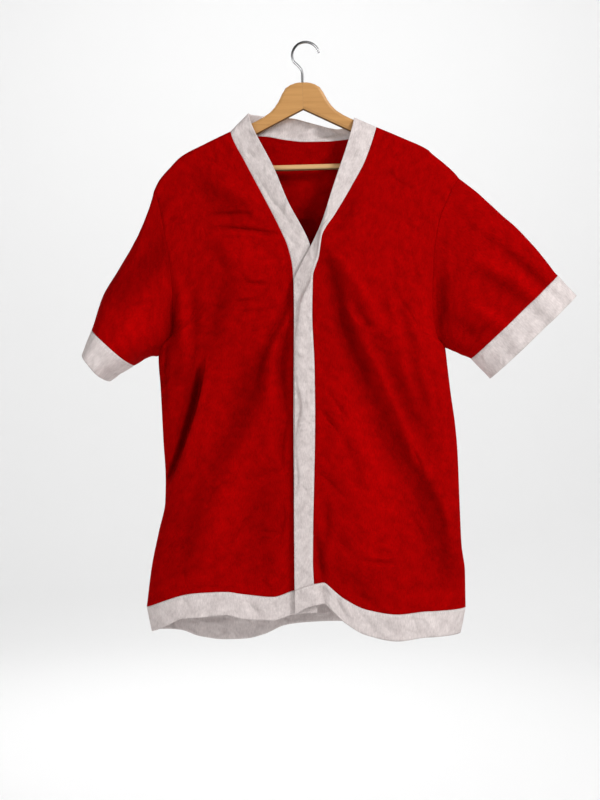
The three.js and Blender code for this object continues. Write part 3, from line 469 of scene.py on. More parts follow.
# %% Creases of the sleeves and the back
RIGHT_SLEEVE_CREASES = table(
    "width height line",
    (24, -15, [(-236, -316), (-263, -384), (-293, -413), (-318, -442), (-336, -486)]),
    (14, 5, [(-318, -478), (-290, -474), (-258, -484)]),
    (5, -4.1, [(-308, -468), (-275, -456), (-246, -451)]),
    (3.4, -3.4, [(-242, -320), (-214, -310)]),
    (5, -3.4, [(-250, -262), (-222, -256)]),
    (5, -2.7, [(-270, -478), (-264, -495)]),
    (22, 7.5, [(-305, -545), (-288, -511), (-280, -480)]),
    (8, -5, [(-262, -505), (-254, -535), (-262, -556)]),
    (7, -9, [(-236, -445), (-237, -485), (-241, -515), (-254, -545)]),
)
LEFT_SLEEVE_CREASES = table(
    "width height line",
    (5, -6.4, [(248, -290), (270, -294), (284, -318), (310, -340), (341, -362), (366, -382)]),
    (11, -12.5, [(330, -354), (366, -382), (395, -408), (445, -452)]),
    (16, -8.8, [(280, -394), (320, -418), (351, -437), (392, -470)]),
    (11, -7.2, [(232, -466), (264, -493), (286, -506), (330, -508)]),
    (9, -4.6, [(272, -498), (293, -517), (312, -545)]),
    (18, 7.5, [(288, -369), (322, -401), (370, -423), (412, -455)]),
    (14, 6.2, [(262, -447), (303, -471), (352, -502)]),
    (4, -3.4, [(289, -458), (326, -468)]),
    (6, -4.1, [(231, -341), (256, -368)]),
    (4, -2.7, [(235, -279), (254, -267)]),
    (7, -10, [(233, -392), (236, -440), (238, -480), (248, -522)]),
    (7, -3, [(326, -325), (364, -346)]),
)
BACK_CREASES = table(
    "width height line",
    (26, -8.8, [(-210, -236), (-150, -310), (-90, -420)]),
    (28, -8.8, [(208, -228), (150, -310), (90, -430)]),
    (34, -11.2, [(-30, -420), (-90, -600), (-130, -720), (-160, -800)]),
    (36, -12.5, [(50, -440), (105, -640), (135, -760), (165, -880)]),
    (30, 10, [(-5, -640), (-15, -800), (-35, -1010)]),
    (24, -10, [(-175, -720), (-190, -850), (-206, -1000)]),
    (24, -10, [(200, -620), (212, -800), (226, -1000)]),
    (16, -7.5, [(-228, -420), (-222, -520), (-205, -640)]),
    (16, -7.5, [(222, -420), (214, -520), (196, -640)]),
    (12, -5, [(70, -760), (60, -880), (66, -1000)]),
    (12, 5, [(-90, -840), (-96, -920), (-108, -1010)]),
    (6, -5, [(-95, -177), (-20, -184), (60, -183), (100, -175)]),
    (5, -4.1, [(-120, -300), (-40, -306), (50, -300)]),
    (4, -3.4, [(-90, -352), (10, -349)]),
    (4, -3.1, [(20, -402), (110, -396)]),
    (5, -4.1, [(-60, -520), (20, -548)]),
    (4, -3.4, [(40, -700), (96, -716)]),
    (4, -3.4, [(-130, -640), (-60, -668)]),
)
print("creases of the back:", len(BACK_CREASES))

# %% [markdown]
# The white pieces are doubled, so they fold less and crush more: short dents across the bands and
# the cuffs, and a few soft folds where the neck band turns round the hanger.

# %% Creases of the white pieces
WHITE_CREASES = table(
    "width height line",
    (4, -2.2, [(-210, -959), (-197, -985)]),
    (3, -1.6, [(-173, -985), (-162, -996)]),
    (6, -4, [(-102, -966), (-84, -985), (-65, -1004)]),
    (4, 2, [(-112, -966), (-94, -990)]),
    (4, -2.4, [(-61, -962), (-46, -989)]),
    (4, -2.6, [(-214, -1004), (-177, -1020), (-136, -1018)]),
    (5, -3, [(-76, -1004), (-61, -1022)]),
    (5, -3, [(24, -940), (32, -974)]),
    (5, -3, [(50, -958), (73, -1000)]),
    (6, 2.4, [(62, -964), (84, -1004)]),
    (4, -2.6, [(92, -985), (118, -1015), (129, -1022)]),
    (4, -2.6, [(129, -1000), (155, -1026)]),
    (4, -2.2, [(181, -992), (196, -1026)]),
    (6, 2.2, [(206, -992), (224, -1024)]),
    (4, -2.2, [(237, -992), (252, -1026)]),
    (3, -2.2, [(-7, -634), (13, -627)]),
    (3, -1.6, [(-2, -668), (13, -661)]),
    (4, -2.2, [(-11, -705), (13, -694)]),
    (4, -2.4, [(-13, -765), (2, -780), (13, -772)]),
    (3, -1.8, [(-16, -813), (-2, -802), (12, -810)]),
    (3, -1.6, [(-18, -839), (10, -851)]),
    (4, -2, [(-16, -892), (-2, -877)]),
    (4, -2, [(-9, -914), (10, -929)]),
    (5, -3, [(-91, -226), (-59, -280), (-36, -306), (-22, -333)]),
    (3, -1.6, [(-59, -285), (-40, -290)]),
    (3, -1.6, [(-102, -189), (-86, -210)]),
    (4, -2, [(-104, -154), (-91, -168)]),
    (3, -1.6, [(-35, -341), (-16, -359)]),
    (4, -2, [(92, -182), (78, -214)]),
    (3, -1.6, [(66, -250), (46, -272)]),
    (5, -5, [(8, -158), (38, -158), (68, -151)]),
    (6, 5, [(-9, -158), (14, -148), (31, -144)]),
    (5, -5, [(-66, -155), (-41, -146), (-16, -144)]),
    (5, -4, [(-40, -160), (-14, -152)]),
    (3, -1.6, [(-350, -546), (-338, -556)]),
    (4, -2, [(-342, -575), (-322, -577)]),
    (4, -2.4, [(436, -462), (420, -482)]),
    (4, -2.2, [(388, -504), (366, -516)]),
    (4, -2, [(352, -532), (338, -560)]),
)
print("creases of the white pieces:", len(WHITE_CREASES))

# %% [markdown]
# A crease is highest along its line and fades to both sides and at both ends. Where two cross,
# their heights add up, as on real cloth. The box round each crease saves time: a place outside it
# is too far off for the crease to matter.

# %% How creases add up
SHARP_WIDTH = 6
SHARP_POWER = 1.3
CREASE_REACH = 2.6
END_SHARE = 0.02
END_POWER = 0.7


def profile(distance, width):
    """A crease's section: a wide fold is round, and a narrow one comes to an edge."""
    if width > SHARP_WIDTH:
        return bell(distance, width)
    return math.exp(-((distance / width) ** SHARP_POWER))


def end_fade(share):
    return math.sin(math.pi * clamp(share, END_SHARE, 1 - END_SHARE)) ** END_POWER


def line_length(line):
    return sum(math.dist(a, b) for a, b in zip(line, line[1:]))


def nearest_on(line, x, z):
    """Distance from a place to a line, and how far along the line that is."""
    nearest, place, gone = 1e9, 0.0, 0.0
    for (ax, az), (bx, bz) in zip(line, line[1:]):
        dx, dz = bx - ax, bz - az
        span = math.hypot(dx, dz)
        u = clamp(((x - ax) * dx + (z - az) * dz) / (span * span))
        off = math.hypot(x - ax - u * dx, z - az - u * dz)
        if off < nearest:
            nearest, place = off, gone + u * span
        gone += span
    return nearest, place


class Creases:
    """The summed height of a table of creases at any place on the front view."""

    def __init__(self, rows):
        self.rows = []
        for row in rows:
            xs, zs = zip(*row["line"])
            margin = CREASE_REACH * row["width"]
            box = (min(xs) - margin, max(xs) + margin, min(zs) - margin, max(zs) + margin)
            self.rows.append((box, row["width"], row["height"], row["line"], line_length(row["line"])))

    def at(self, x, z):
        total = 0.0
        for (left, right, low, high), width, height, line, length in self.rows:
            if left < x < right and low < z < high:
                away, place = nearest_on(line, x, z)
                total += height * profile(away, width) * end_fade(place / length)
        return total


print("a crease 10 wide, at 5 from its line:", round(profile(5, 10), 2))

# %% [markdown]
# On the right the coat is wider than its hang, so its side falls back in a deep tuck. `x` is
# the tuck's lip, where the front turns under, and `share` how far it is open there. Past the
# lip the cloth dives to the tuck's floor, then comes back up to the narrow layer beside the side
# seam. One object for each side holds the tables of that side, so each piece is written once.

# %% The tuck and the two sides
SIDE_TUCK = table("z x share", (-530, -168, 0), (-556, -171, 0.08), (-577, -173.5, 0.45),
                  (-600, -178, 0.92), (-634.5, -185.5, 1), (-682, -200, 1), (-716, -211, 1),
                  (-748, -224, 1), (-775, -236, 0.8), (-800, -244, 0.2), (-815, -250, 0))


def edge(rows, top, bottom):
    """An edge of a piece: from a share of the way down to the place there."""
    def at(t):
        z = mix(top, bottom, t)
        return read(rows, "x", "z", z), z

    return at


class Side:
    """The tables of one side, and the edges that its pieces share."""

    def __init__(self, name, **tables):
        self.name = name
        self.__dict__.update(tables)
        self.creases = Creases(self.front_creases)
        self.sleeve_folds = Creases(self.sleeve_creases)
        neck, tip = seat(self.neck_x), seat(self.tip_x)
        self.seam[0]["z"], self.outer[0]["z"] = neck, tip
        self.inner_edge = edge(self.seam, neck, read(self.hem, "seam", "x", self.hem_x))
        self.outer_edge = edge(self.outer, tip, read(self.hem, "seam", "x", self.side_x))
        self.free_edge = edge(self.free, self.free[0]["z"], read(self.hem, "seam", "x", self.free_end_x))


RIGHT = Side("right", seam=RIGHT_SEAM, free=RIGHT_FREE, outer=RIGHT_OUTER, hem=RIGHT_HEM,
             front_creases=RIGHT_CREASES, sleeve_creases=RIGHT_SLEEVE_CREASES, tuck=SIDE_TUCK,
             crest=None, rings=RIGHT_RINGS, cuff=RIGHT_CUFF,
             neck_x=-131, tip_x=-265, hem_x=-17, side_x=-277, free_end_x=20, back_edge=0)
LEFT = Side("left", seam=LEFT_SEAM, free=LEFT_FREE, outer=LEFT_OUTER, hem=LEFT_HEM,
            front_creases=LEFT_CREASES, sleeve_creases=LEFT_SLEEVE_CREASES, tuck=None,
            crest=LEFT_CREST, rings=LEFT_RINGS, cuff=LEFT_CUFF,
            neck_x=123.5, tip_x=268, hem_x=14, side_x=279, free_end_x=-19, back_edge=1)
SIDES = (RIGHT, LEFT)
NECK[0]["seam"] = seat(RIGHT.neck_x)
NECK[-1]["seam"] = seat(LEFT.neck_x)
print("sides:", [side.name for side in SIDES])

# %% [markdown]
# Where the cloth lies. Each function takes a place on the flat cut piece, across by s and down
# by t, both from 0 to 1, and gives the point in space where that bit of cloth hangs. The sheet
# between four edges is stretched over them as a soap film would be, then folded.

# %% Where the fronts hang
TUCK_FLOOR = -6
TUCK_LAYER = 19
TUCK_DIVE = 5
TUCK_WIDTH = 8
TUCK_RISE = 19
LIP_ROLL = 2.5
LIP_ROLL_BACK = 6
LIP_ROLL_WIDTH = 7
LIP_NEAR = -20


def rounding(s, t):
    """The cloth draws in to the side seam, and to the armhole's lower end."""
    close = min(1.0, t / ARMPIT) ** 5
    return math.sqrt(max(0.0, 1 - s ** 6 * close))


class Front:
    """A front panel, from its band (s 0) to its side (s 1) and from shoulder to hem."""

    def __init__(self, side):
        self.side = side
        self.rows = {}
        self.upper = (self.top(0), self.top(1))
        self.lower = (self.bottom(0), self.bottom(1))

    def top(self, s):
        return seat(mix(self.side.neck_x, self.side.tip_x, s))

    def bottom(self, s):
        return read(self.side.hem, "seam", "x", mix(self.side.hem_x, self.side.side_x, s))

    def row(self, t):
        if t not in self.rows:
            side = self.side
            inner, outer = side.inner_edge(t), side.outer_edge(t)
            self.rows[t] = (inner, outer, read(side.seam, "out", "z", inner[1]),
                            read(side.outer, "front", "z", outer[1]))
        return self.rows[t]

    def flat(self, s, t):
        inner, outer, _, _ = self.row(t)
        down = mix(self.top(s), self.bottom(s), t)
        corners = mix(mix(*self.upper, s), mix(*self.lower, s), t)
        return mix(inner[0], outer[0], s), mix(inner[1], outer[1], s) + down - corners

    def tucked(self, out, x, z):
        """Sends the cloth past the tuck's lip down to its floor and up to the layer behind."""
        past = read(self.side.tuck, "x", "z", z) - x
        share = read(self.side.tuck, "share", "z", z)
        if past < LIP_NEAR or share <= 0:
            return out
        roll = LIP_ROLL * bell(past + LIP_ROLL_BACK, LIP_ROLL_WIDTH)
        beyond = mix(TUCK_FLOOR, min(out, TUCK_LAYER), ease(TUCK_WIDTH, TUCK_RISE, past))
        return mix(out + roll * share, beyond, share * ease(-1, TUCK_DIVE, past))

    def __call__(self, s, t):
        _, _, seam_out, side_out = self.row(t)
        x, z = self.flat(s, t)
        settle = ease(0.01, 0.06, t)
        out = wrap(self.top(s) - z) + mix(seam_out, side_out, s * s)
        out += BELLY * math.sin(math.pi * s) * ease(0.1, 0.5, t) + self.side.creases.at(x, z) * settle
        if self.side.tuck:
            out = self.tucked(out, x, z)
        return Vector((x, -out * rounding(s, t), z))


fronts = {side.name: Front(side) for side in SIDES}
print("left front's hem corner:", [round(v) for v in fronts["left"](0, 1)])

# %% [markdown]
# A front band is a straight strip, doubled and sewn over the front's edge. It starts at that seam
# and lies on the front. The left one was never pressed flat, so it stands up in a rolled crest:
# steep on the side of its free edge, and soft on the other.

# %% Where the front bands hang
ROLL_WIDTH = 15
ROLL_EDGE = 2.2


def band_point(side, front):
    """A front band, from the cloth's seam (s 0) to its free edge (s 1)."""
    def at(s, t):
        seam = front(0, t)
        x, z = side.free_edge(t)
        out = wrap(side.free[0]["z"] - z) + read(side.free, "out", "z", z)
        point = seam.lerp(Vector((x, -out, z)), s)
        if side.crest:
            off = point.x - read(side.crest, "x", "z", point.z)
            lift = read(side.crest, "lift", "z", point.z)
            roll = bell(off, ROLL_WIDTH if off > 0 else ROLL_EDGE)
            point.y -= lift * roll * math.sin(math.pi * s) ** 0.5
        return point

    return at


bands = {side.name: band_point(side, fronts[side.name]) for side in SIDES}
print("left band's lower end:", [round(v) for v in bands["left"](1, 1)])

# %% [markdown]
# The back hangs from both arms, and its side edges are the fronts' own, so the seams meet. The
# neck band stands up from the back's upper edge and ends in the two front bands.

# %% Where the back and the neck band hang
NECK_HALF_WIDTH = 118


class Back:
    """The back, from the right side (s 0) to the left one, and from shoulders to hem."""

    def __init__(self):
        self.creases = Creases(BACK_CREASES)
        self.width = LEFT.tip_x - RIGHT.tip_x
        self.upper = (self.top(0), self.top(1))
        self.lower = (self.bottom(0), self.bottom(1))

    def top(self, s):
        x = RIGHT.tip_x + self.width * s
        return read(NECK, "seam", "x", x) if RIGHT.neck_x < x < LEFT.neck_x else seat(x)

    def bottom(self, s):
        return read(BACK_HEM, "seam", "x", mix(RIGHT.side_x, LEFT.side_x, s))

    def __call__(self, s, t):
        right, left = RIGHT.outer_edge(t), LEFT.outer_edge(t)
        down = mix(self.top(s), self.bottom(s), t)
        corners = mix(mix(*self.upper, s), mix(*self.lower, s), t)
        x, z = mix(right[0], left[0], s), mix(right[1], left[1], s) + down - corners
        side = RIGHT if s < 0.5 else LEFT
        aside = abs(2 * s - 1)
        side_out = read(side.outer, "back", "z", side.outer_edge(t)[1])
        neckward = max(0.0, 1 - (x / NECK_HALF_WIDTH) ** 2)
        middle = read(BACK_MIDDLE, "out", "z", z) * mix(neckward, 1, ease(0.02, 0.16, t))
        out = wrap(seat(x) - z) + mix(middle, side_out, aside * aside)
        out += self.creases.at(x, z) * ease(0.01, 0.08, t)
        return Vector((x, out * rounding(aside, t), z))


back = Back()


def neck_point(s, t):
    """The band round the back of the neck, from its seam (t 0) to its standing edge (t 1)."""
    x = mix(RIGHT.neck_x, LEFT.neck_x, s)
    seam = back((x - RIGHT.tip_x) / back.width, 0)
    drop = min(x - RIGHT.neck_x, LEFT.neck_x - x)
    edge_y = wrap(drop) + BAND_STAND * ease(3, 60, drop)
    free = Vector((read(NECK, "edge_x", "x", x), edge_y, read(NECK, "edge", "x", x)))
    if s == 0:
        free = bands["right"](1, 0)
    if s == 1:
        free = bands["left"](1, 0)
    return seam.lerp(free, t)


print("back's middle at the hem:", [round(v) for v in back(0.5, 1)])

# %% [markdown]
# A sleeve starts in the armhole, on the very edges of the front and the back, and passes over to
# its own rings within a short way. Its depth follows an oval that is fuller than an ellipse.

# %% Where the sleeves and the cuffs hang
BEHIND_FOLD = 0.6
SETTLE_RATE = 5
UNDERARM_HASTE = 5


def across_ring(ring, w):
    """From a ring's highest point (w 0) to its lowest one (w 1)."""
    return mix(ring["top_x"], ring["under_x"], w), mix(ring["top_z"], ring["under_z"], w)


def tube_point(side, rows, first):
    """Round the arm by s, from the top down the front and up the back; along the sleeve by t."""
    front = fronts[side.name]
    for k, row in enumerate(rows):
        row["v"] = k / (len(rows) - 1)

    def at(s, t):
        down = s <= 0.5
        w = 2 * s if down else 2 - 2 * s
        w = 0.5 - 0.5 * math.cos(math.pi * w)
        way = -1 if down else 1
        fold_share = way * math.sin(math.pi * w) * (1 if down else BEHIND_FOLD)
        ring = {name: read(rows, name, "v", t) for name in rows[0] if name != "v"}
        x, z = across_ring(ring, w)
        y = way * ring["front" if down else "back"] * math.sqrt(max(0.0, 1 - abs(2 * w - 1) ** 3))
        if not first:
            return Vector((x, y + fold_share * side.sleeve_folds.at(*across_ring(side.rings[-1], w)), z))
        source = front(1, w * ARMPIT) if down else back(side.back_edge, w * ARMPIT)
        start_x, start_z = across_ring(side.rings[0], w)
        x += (source.x - start_x) * (1 - t) ** 2
        z += (source.z - start_z) * (1 - t) ** 2
        y += fold_share * side.sleeve_folds.at(x, z) * min(1, SETTLE_RATE * t)
        joined = (1 - t) ** (2 + UNDERARM_HASTE * ease(0.4, 0.75, w))
        return Vector((x, mix(y, source.y, joined), z))

    return at


sleeves = {side.name: tube_point(side, side.rings, True) for side in SIDES}
cuffs = {side.name: tube_point(side, side.cuff, False) for side in SIDES}
print("right cuff's front:", [round(v) for v in cuffs["right"](0.25, 1)])

# %% [markdown]
# The hem bands hang from the lower edges of the fronts and the back, and flare a little. A front
# one also runs under its front band, for `BAND_SHARE` of its length.

# %% Where the hem bands hang
HEM_FLARE = 0.04
HEM_DRAW_WIDTH = 40
BAND_SHARE = 0.13


def hem_point(edge_point, rows, side_xs):
    """A hem band below one edge of cloth, drawn inwards a little at the side seam."""
    def at(s, t):
        point = edge_point(s)
        end = read(rows, "end", "x", point.x)
        near = max(bell(point.x - x, HEM_DRAW_WIDTH) for x in side_xs)
        inward = -math.copysign(HEM_SIDE_DRAW * near * t, point.x)
        return Vector((point.x + inward, point.y * (1 + HEM_FLARE * t), mix(point.z, end, t)))

    return at


def front_hem_edge(side):
    """From the band's free edge to the side seam, along the top of the hem band."""
    def at(s):
        if s < BAND_SHARE:
            return bands[side.name](1 - s / BAND_SHARE, 1)
        u = (s - BAND_SHARE) / (1 - BAND_SHARE)
        return fronts[side.name](math.sin(math.pi / 2 * u), 1)

    return at


print("right hem band starts at:", [round(v) for v in front_hem_edge(RIGHT)(0)])

# %% [markdown]
# A sheet of cloth starts as Blender's grid. Its rows and columns are set close where the cloth
# bends sharply, over the hanger and at the side seam, and every vertex moves to where its bit of
# cloth hangs. The flat size stays in the UV map, in metres, so the nap and the crinkle keep
# their scale on every piece. Solidify then gives the felt its thickness.

# %% How rows and columns are spaced
def over_arm(rows, start_rows=6):
    """Shares down a panel, with the first rows spread evenly round the arm's top."""
    arc = WRAP_RADIUS / PANEL_DROP
    shares = [arc * (1 - math.cos(math.pi / 2 * k / start_rows)) for k in range(start_rows + 1)]
    upper = round((rows - start_rows) * 0.4)
    lower = rows - start_rows - upper
    shares += [mix(arc, ARMPIT, k / upper) for k in range(1, upper + 1)]
    shares += [mix(ARMPIT, 1, k / lower) for k in range(1, lower + 1)]
    return shares


def to_side(count):
    """Shares across a front, closer together towards the side seam."""
    return [mix(k / count, math.sin(math.pi / 2 * k / count), 0.7) for k in range(count + 1)]


def both_sides(count):
    half = to_side(count // 2)
    return [0.5 - 0.5 * s for s in reversed(half)] + [0.5 + 0.5 * s for s in half[1:]]


def even(count):
    return [k / count for k in range(count + 1)]


LIP_COLUMN, FOOT_COLUMN = 0.66, 0.86
LIP_AHEAD = 0.012
LAST_FOOT = 0.985
TUCK_OPENS, TUCK_CLOSES = (-480, -560), (-800, -860)


def gathered(front):
    """Moves columns to follow the tuck's lip, so that the fold's edge stays crisp."""
    lips = {}

    def lip_share(t):
        if t not in lips:
            inner, outer = front.side.inner_edge(t), front.side.outer_edge(t)
            wide = inner[0] - outer[0]
            s = 0.8
            for _ in range(4):
                z = front.flat(s, t)[1]
                s = clamp((inner[0] - read(front.side.tuck, "x", "z", z)) / wide, 0.5, 0.97)
            pull = ease(*TUCK_OPENS, z) * (1 - ease(*TUCK_CLOSES, z))
            lips[t] = (mix(LIP_COLUMN, s - LIP_AHEAD, pull),
                       mix(FOOT_COLUMN, min(s + TUCK_RISE / wide, LAST_FOOT), pull))
        return lips[t]

    def at(s, t):
        lip_at, foot_at = lip_share(t)
        if s <= LIP_COLUMN:
            return s / LIP_COLUMN * lip_at
        if s <= FOOT_COLUMN:
            return mix(lip_at, foot_at, (s - LIP_COLUMN) / (FOOT_COLUMN - LIP_COLUMN))
        return mix(foot_at, 1, (s - FOOT_COLUMN) / (1 - FOOT_COLUMN))

    return at


print("rows over the arm:", [round(v, 4) for v in over_arm(100)[:7]])

# %% [markdown]
# Every sheet gets the same finish: its sewn edges sink into the seam with a slight pucker, and
# its face is never quite flat. Both neighbours at a seam sink straight inwards by the same
# amount, so the seam stays closed. Each vertex also remembers how deep in a crease it lies, for
# painted shade: the finish paints a fold's trough darker and its crest lighter.

# %% Cutting and hanging a sheet
CLOTH = 1.9
UV = "cloth"
FOLD = "fold"
SEAM_DIP = 0.9
SEAM_SIDE = 6
SEAM_WIDTH = 2.6
SEAM_CALM = 5
PUCKER, PUCKER_SIZE = 0.8, 9
WELD = 3e-4
RED_RELIEF = ((90, 2.2), (36, 0.9), (13, 0.2))
WHITE_RELIEF = ((70, 1.0), (26, 0.5), (11, 0.22))
pattern = {}


def unevenness(point, relief):
    """Small rises and hollows of the hung cloth, a little longer down than across."""
    place = Vector((point.x, point.y, point.z * 0.8))
    return sum(height * noise.noise(place / size + Vector((size, 0, 7))) for size, height in relief)


def seam_distance(seams, s, t, flat):
    """Distance in millimetres to the nearest sewn edge of the flat piece."""
    gaps = {"left": s * flat[0], "right": (1 - s) * flat[0],
            "top": t * flat[1], "bottom": (1 - t) * flat[1]}
    return min([gaps[name] for name in seams], default=1e9) / MM


def lay_flat(bm, across, down, flat, warp):
    """The cut piece as a grid. Gives each vertex's row, column and shares, and sets the UVs."""
    columns, rows = len(across) - 1, len(down) - 1
    bmesh.ops.create_grid(bm, x_segments=columns, y_segments=rows, size=0.5)
    uv = bm.loops.layers.uv.new(UV)
    spots = {}
    for v in bm.verts:
        i, j = round((0.5 - v.co.y) * rows), round((v.co.x + 0.5) * columns)
        s, t = across[j], down[i]
        spots[v] = (i, j, warp(s, t) if warp else s, t)
    for face in bm.faces:
        for loop in face.loops:
            _, _, s, t = spots[loop.vert]
            loop[uv].uv = (s * flat[0], (1 - t) * flat[1])
    return spots


def drape(bm, spots, fold, place, marks, outward):
    """Moves each vertex to where its bit of cloth hangs, and turns the faces outwards."""
    for v, (_, _, s, t) in spots.items():
        v.co = place(s, t)
        v[fold] = marks.at(v.co.x, v.co.z) if marks else 0.0
    bm.normal_update()
    if sum(f.normal.dot(outward(f.calc_center_median())) for f in bm.faces) < 0:
        bmesh.ops.reverse_faces(bm, faces=bm.faces)
        bm.normal_update()


def roughen(spots, size, seams, flat, relief, extra):
    """Adds the cloth's unevenness and sinks its sewn edges. Gives (point, normal) by row."""
    points = [[None] * size[0] for _ in range(size[1])]
    for v, (i, j, s, t) in spots.items():
        away = seam_distance(seams, s, t, flat)
        pucker = 1 + PUCKER * noise.noise(v.co / PUCKER_SIZE)
        lift = v.normal * (unevenness(v.co, relief) + extra(v)) * (1 - bell(away, SEAM_CALM))
        dip = SEAM_DIP * pucker * bell(away, SEAM_WIDTH) * clamp(v.co.y / SEAM_SIDE, -1)
        points[i][j] = (v.co + lift - Vector((0, dip, 0)), v.normal.copy())
    for v, (i, j, _, _) in spots.items():
        v.co = points[i][j][0] * MM
    return points


def hang_sheet(name, place, across, down, flat, seams, relief, outward, warp=None, closed=False,
               creases=None, pressed=None):
    """One sheet. `place` already holds the heights of `creases`; those of `pressed` are added."""
    bm = bmesh.new()
    fold = bm.verts.layers.float.new(FOLD)
    spots = lay_flat(bm, across, down, flat, warp)
    drape(bm, spots, fold, place, creases or pressed, outward)
    pattern[name] = roughen(spots, (len(across), len(down)), seams, flat, relief,
                            lambda v: v[fold] if pressed else 0.0)
    if closed:
        bmesh.ops.remove_doubles(bm, verts=bm.verts, dist=WELD)
    covers = sum(f.calc_area() for f in bm.faces)
    o = make_piece(name, bm)
    o.data.shade_smooth()
    thick = o.modifiers.new("thickness", "SOLIDIFY")
    thick.thickness = CLOTH * MM
    thick.offset = 0
    thick.use_even_offset = False
    print(name, len(across) - 1, "by", len(down) - 1, "cells cover", round(covers, 4), "square metres")
    return o


def facing(x, y, z):
    return lambda centre: Vector((x, y, z))


def away_from(start, end):
    """Outward of a tube round the line from start to end."""
    start, end = Vector(start), Vector(end)
    along = end - start

    def direction(centre):
        u = (centre - start).dot(along) / along.length_squared
        return centre - (start + along * u)

    return direction


def ring_middle(ring):
    return ((ring["top_x"] + ring["under_x"]) / 2, -8, (ring["top_z"] + ring["under_z"]) / 2)


# %% [markdown]
# The red panels carry the folds, so their cells are only 2 to 4 mm wide. A sleeve is sewn up into
# a tube: the grid's two sides meet, and their vertices are merged.

# %% Hanging the red pieces
ALL_EDGES = ("left", "right", "top", "bottom")
sheets = {}
for side in SIDES:
    name = f"front_{side.name}"
    front = fronts[side.name]
    sheets[name] = hang_sheet(
        name, front, even(128) if side.tuck else to_side(128), over_arm(330), (0.262, 0.8),
        ALL_EDGES, RED_RELIEF, facing(0, -1, 0),
        warp=gathered(front) if side.tuck else None, creases=side.creases)
sheets["back"] = hang_sheet("back_cloth", back, both_sides(170), over_arm(230), (0.57, 0.83),
                            ALL_EDGES, RED_RELIEF, facing(0, 1, 0), creases=back.creases)
for side in SIDES:
    name = f"sleeve_{side.name}"
    core = away_from(ring_middle(side.rings[0]), ring_middle(side.rings[-1]))
    sheets[name] = hang_sheet(name, sleeves[side.name], even(180), even(90), (0.52, 0.2),
                              ("top", "bottom"), RED_RELIEF, core, closed=True,
                              creases=side.sleeve_folds)

# %% [markdown]
# The white pieces are narrow strips. Each has one long edge sewn to the red cloth, which sinks
# into the seam. The other long edge is free, and stays as it hangs.

# %% Hanging the white bands
pressed = Creases(WHITE_CREASES)
for side in SIDES:
    name = f"band_{side.name}"
    sheets[name] = hang_sheet(name, bands[side.name], even(26), over_arm(330), (0.039, 0.83),
                              ("left", "top", "bottom"), WHITE_RELIEF, facing(0, -1, 0),
                              pressed=pressed)
    name = f"cuff_{side.name}"
    core = away_from(ring_middle(side.rings[-1]), ring_middle(side.cuff[-1]))
    sheets[name] = hang_sheet(name, cuffs[side.name], even(180), even(16), (0.43, 0.04),
                              ("top",), WHITE_RELIEF, core, closed=True, pressed=pressed)
    name = f"hem_{side.name}"
    sheets[name] = hang_sheet(
        name, hem_point(front_hem_edge(side), side.hem, [side.side_x]), even(140), even(14),
        (0.31, 0.042), ("top",), WHITE_RELIEF, facing(0, -1, 0), pressed=pressed)
sheets["band_neck"] = hang_sheet("band_neck", neck_point, both_sides(110), even(14), (0.27, 0.04),
                                 ("top", "left", "right"), WHITE_RELIEF, facing(0, -1, 0.5),
                                 pressed=pressed)
sheets["hem_back"] = hang_sheet(
    "hem_back", hem_point(lambda s: back(s, 1), BACK_HEM, [RIGHT.side_x, LEFT.side_x]),
    both_sides(190), even(14), (0.57, 0.043), ("top",), WHITE_RELIEF, facing(0, 1, 0),
    pressed=pressed)

# %% [markdown]
# The bands are sewn on with a row of white stitches close to their seam. On the real coat a
# machine makes them; here each is a small long bead laid along the seam, at the machine's
# pitch, just proud of the cloth.

# %% Stitches
STITCH_PITCH = 4.2
STITCH_LENGTH = 2.7
STITCH_THICK = 0.75
FACES_IN_STITCH = 24


def along_column(name, share):
    return [row[round(share * (len(row) - 1))] for row in pattern[name]]


def along_row(name, share):
    return pattern[name][round(share * (len(pattern[name]) - 1))]


def stitch(bm, centre, along):
    turn = along.to_track_quat("Z", "X").to_matrix().to_4x4()
    size = Matrix.Diagonal((STITCH_THICK / 2, STITCH_THICK / 2, STITCH_LENGTH / 2, 1 / MM)) * MM
    bmesh.ops.create_uvsphere(bm, u_segments=6, v_segments=4, radius=1,
                              matrix=Matrix.Translation(centre * MM) @ turn @ size)


def stitch_line(bm, line):
    """Beads at an even pitch along a line of (point, normal)."""
    gone, due = 0.0, STITCH_PITCH / 2
    for (a, na), (b, nb) in zip(line, line[1:]):
        span = (b - a).length
        while due <= gone + span:
            u = (due - gone) / span
            stitch(bm, a.lerp(b, u) + na.lerp(nb, u).normalized() * (CLOTH / 2), b - a)
            due += STITCH_PITCH
        gone += span


def sew(name, lines):
    bm = bmesh.new()
    for line in lines:
        stitch_line(bm, line)
    o = make_piece(name, bm)
    o.data.shade_smooth()
    print(name, len(o.data.polygons) // FACES_IN_STITCH, "stitches")
    return o


stitches = {}
for side in SIDES:
    name = side.name
    stitches[f"band_{name}"] = sew(f"stitches_band_{name}", [along_column(f"band_{name}", 0.08)])
    stitches[f"cuff_{name}"] = sew(f"stitches_cuff_{name}", [along_row(f"cuff_{name}", 0.1)])
    stitches[f"hem_{name}"] = sew(f"stitches_hem_{name}", [along_row(f"hem_{name}", 0.1)])
stitches["band_neck"] = sew("stitches_neck", [along_row("band_neck", 0.1)])
stitches["hem_back"] = sew("stitches_hem_back", [along_row("hem_back", 0.1)])

# %% [markdown]
# Finishes. Red felt is matt and brushed: its nap catches light in small patches, and its dye
# leaves almost no green or blue in the reflected light. The white is a thin crinkled felt,
# slightly pink and grey. Both are painted in metres on the flat cut pieces, so that the grain
# follows the cloth. One shared group makes the nap for both.

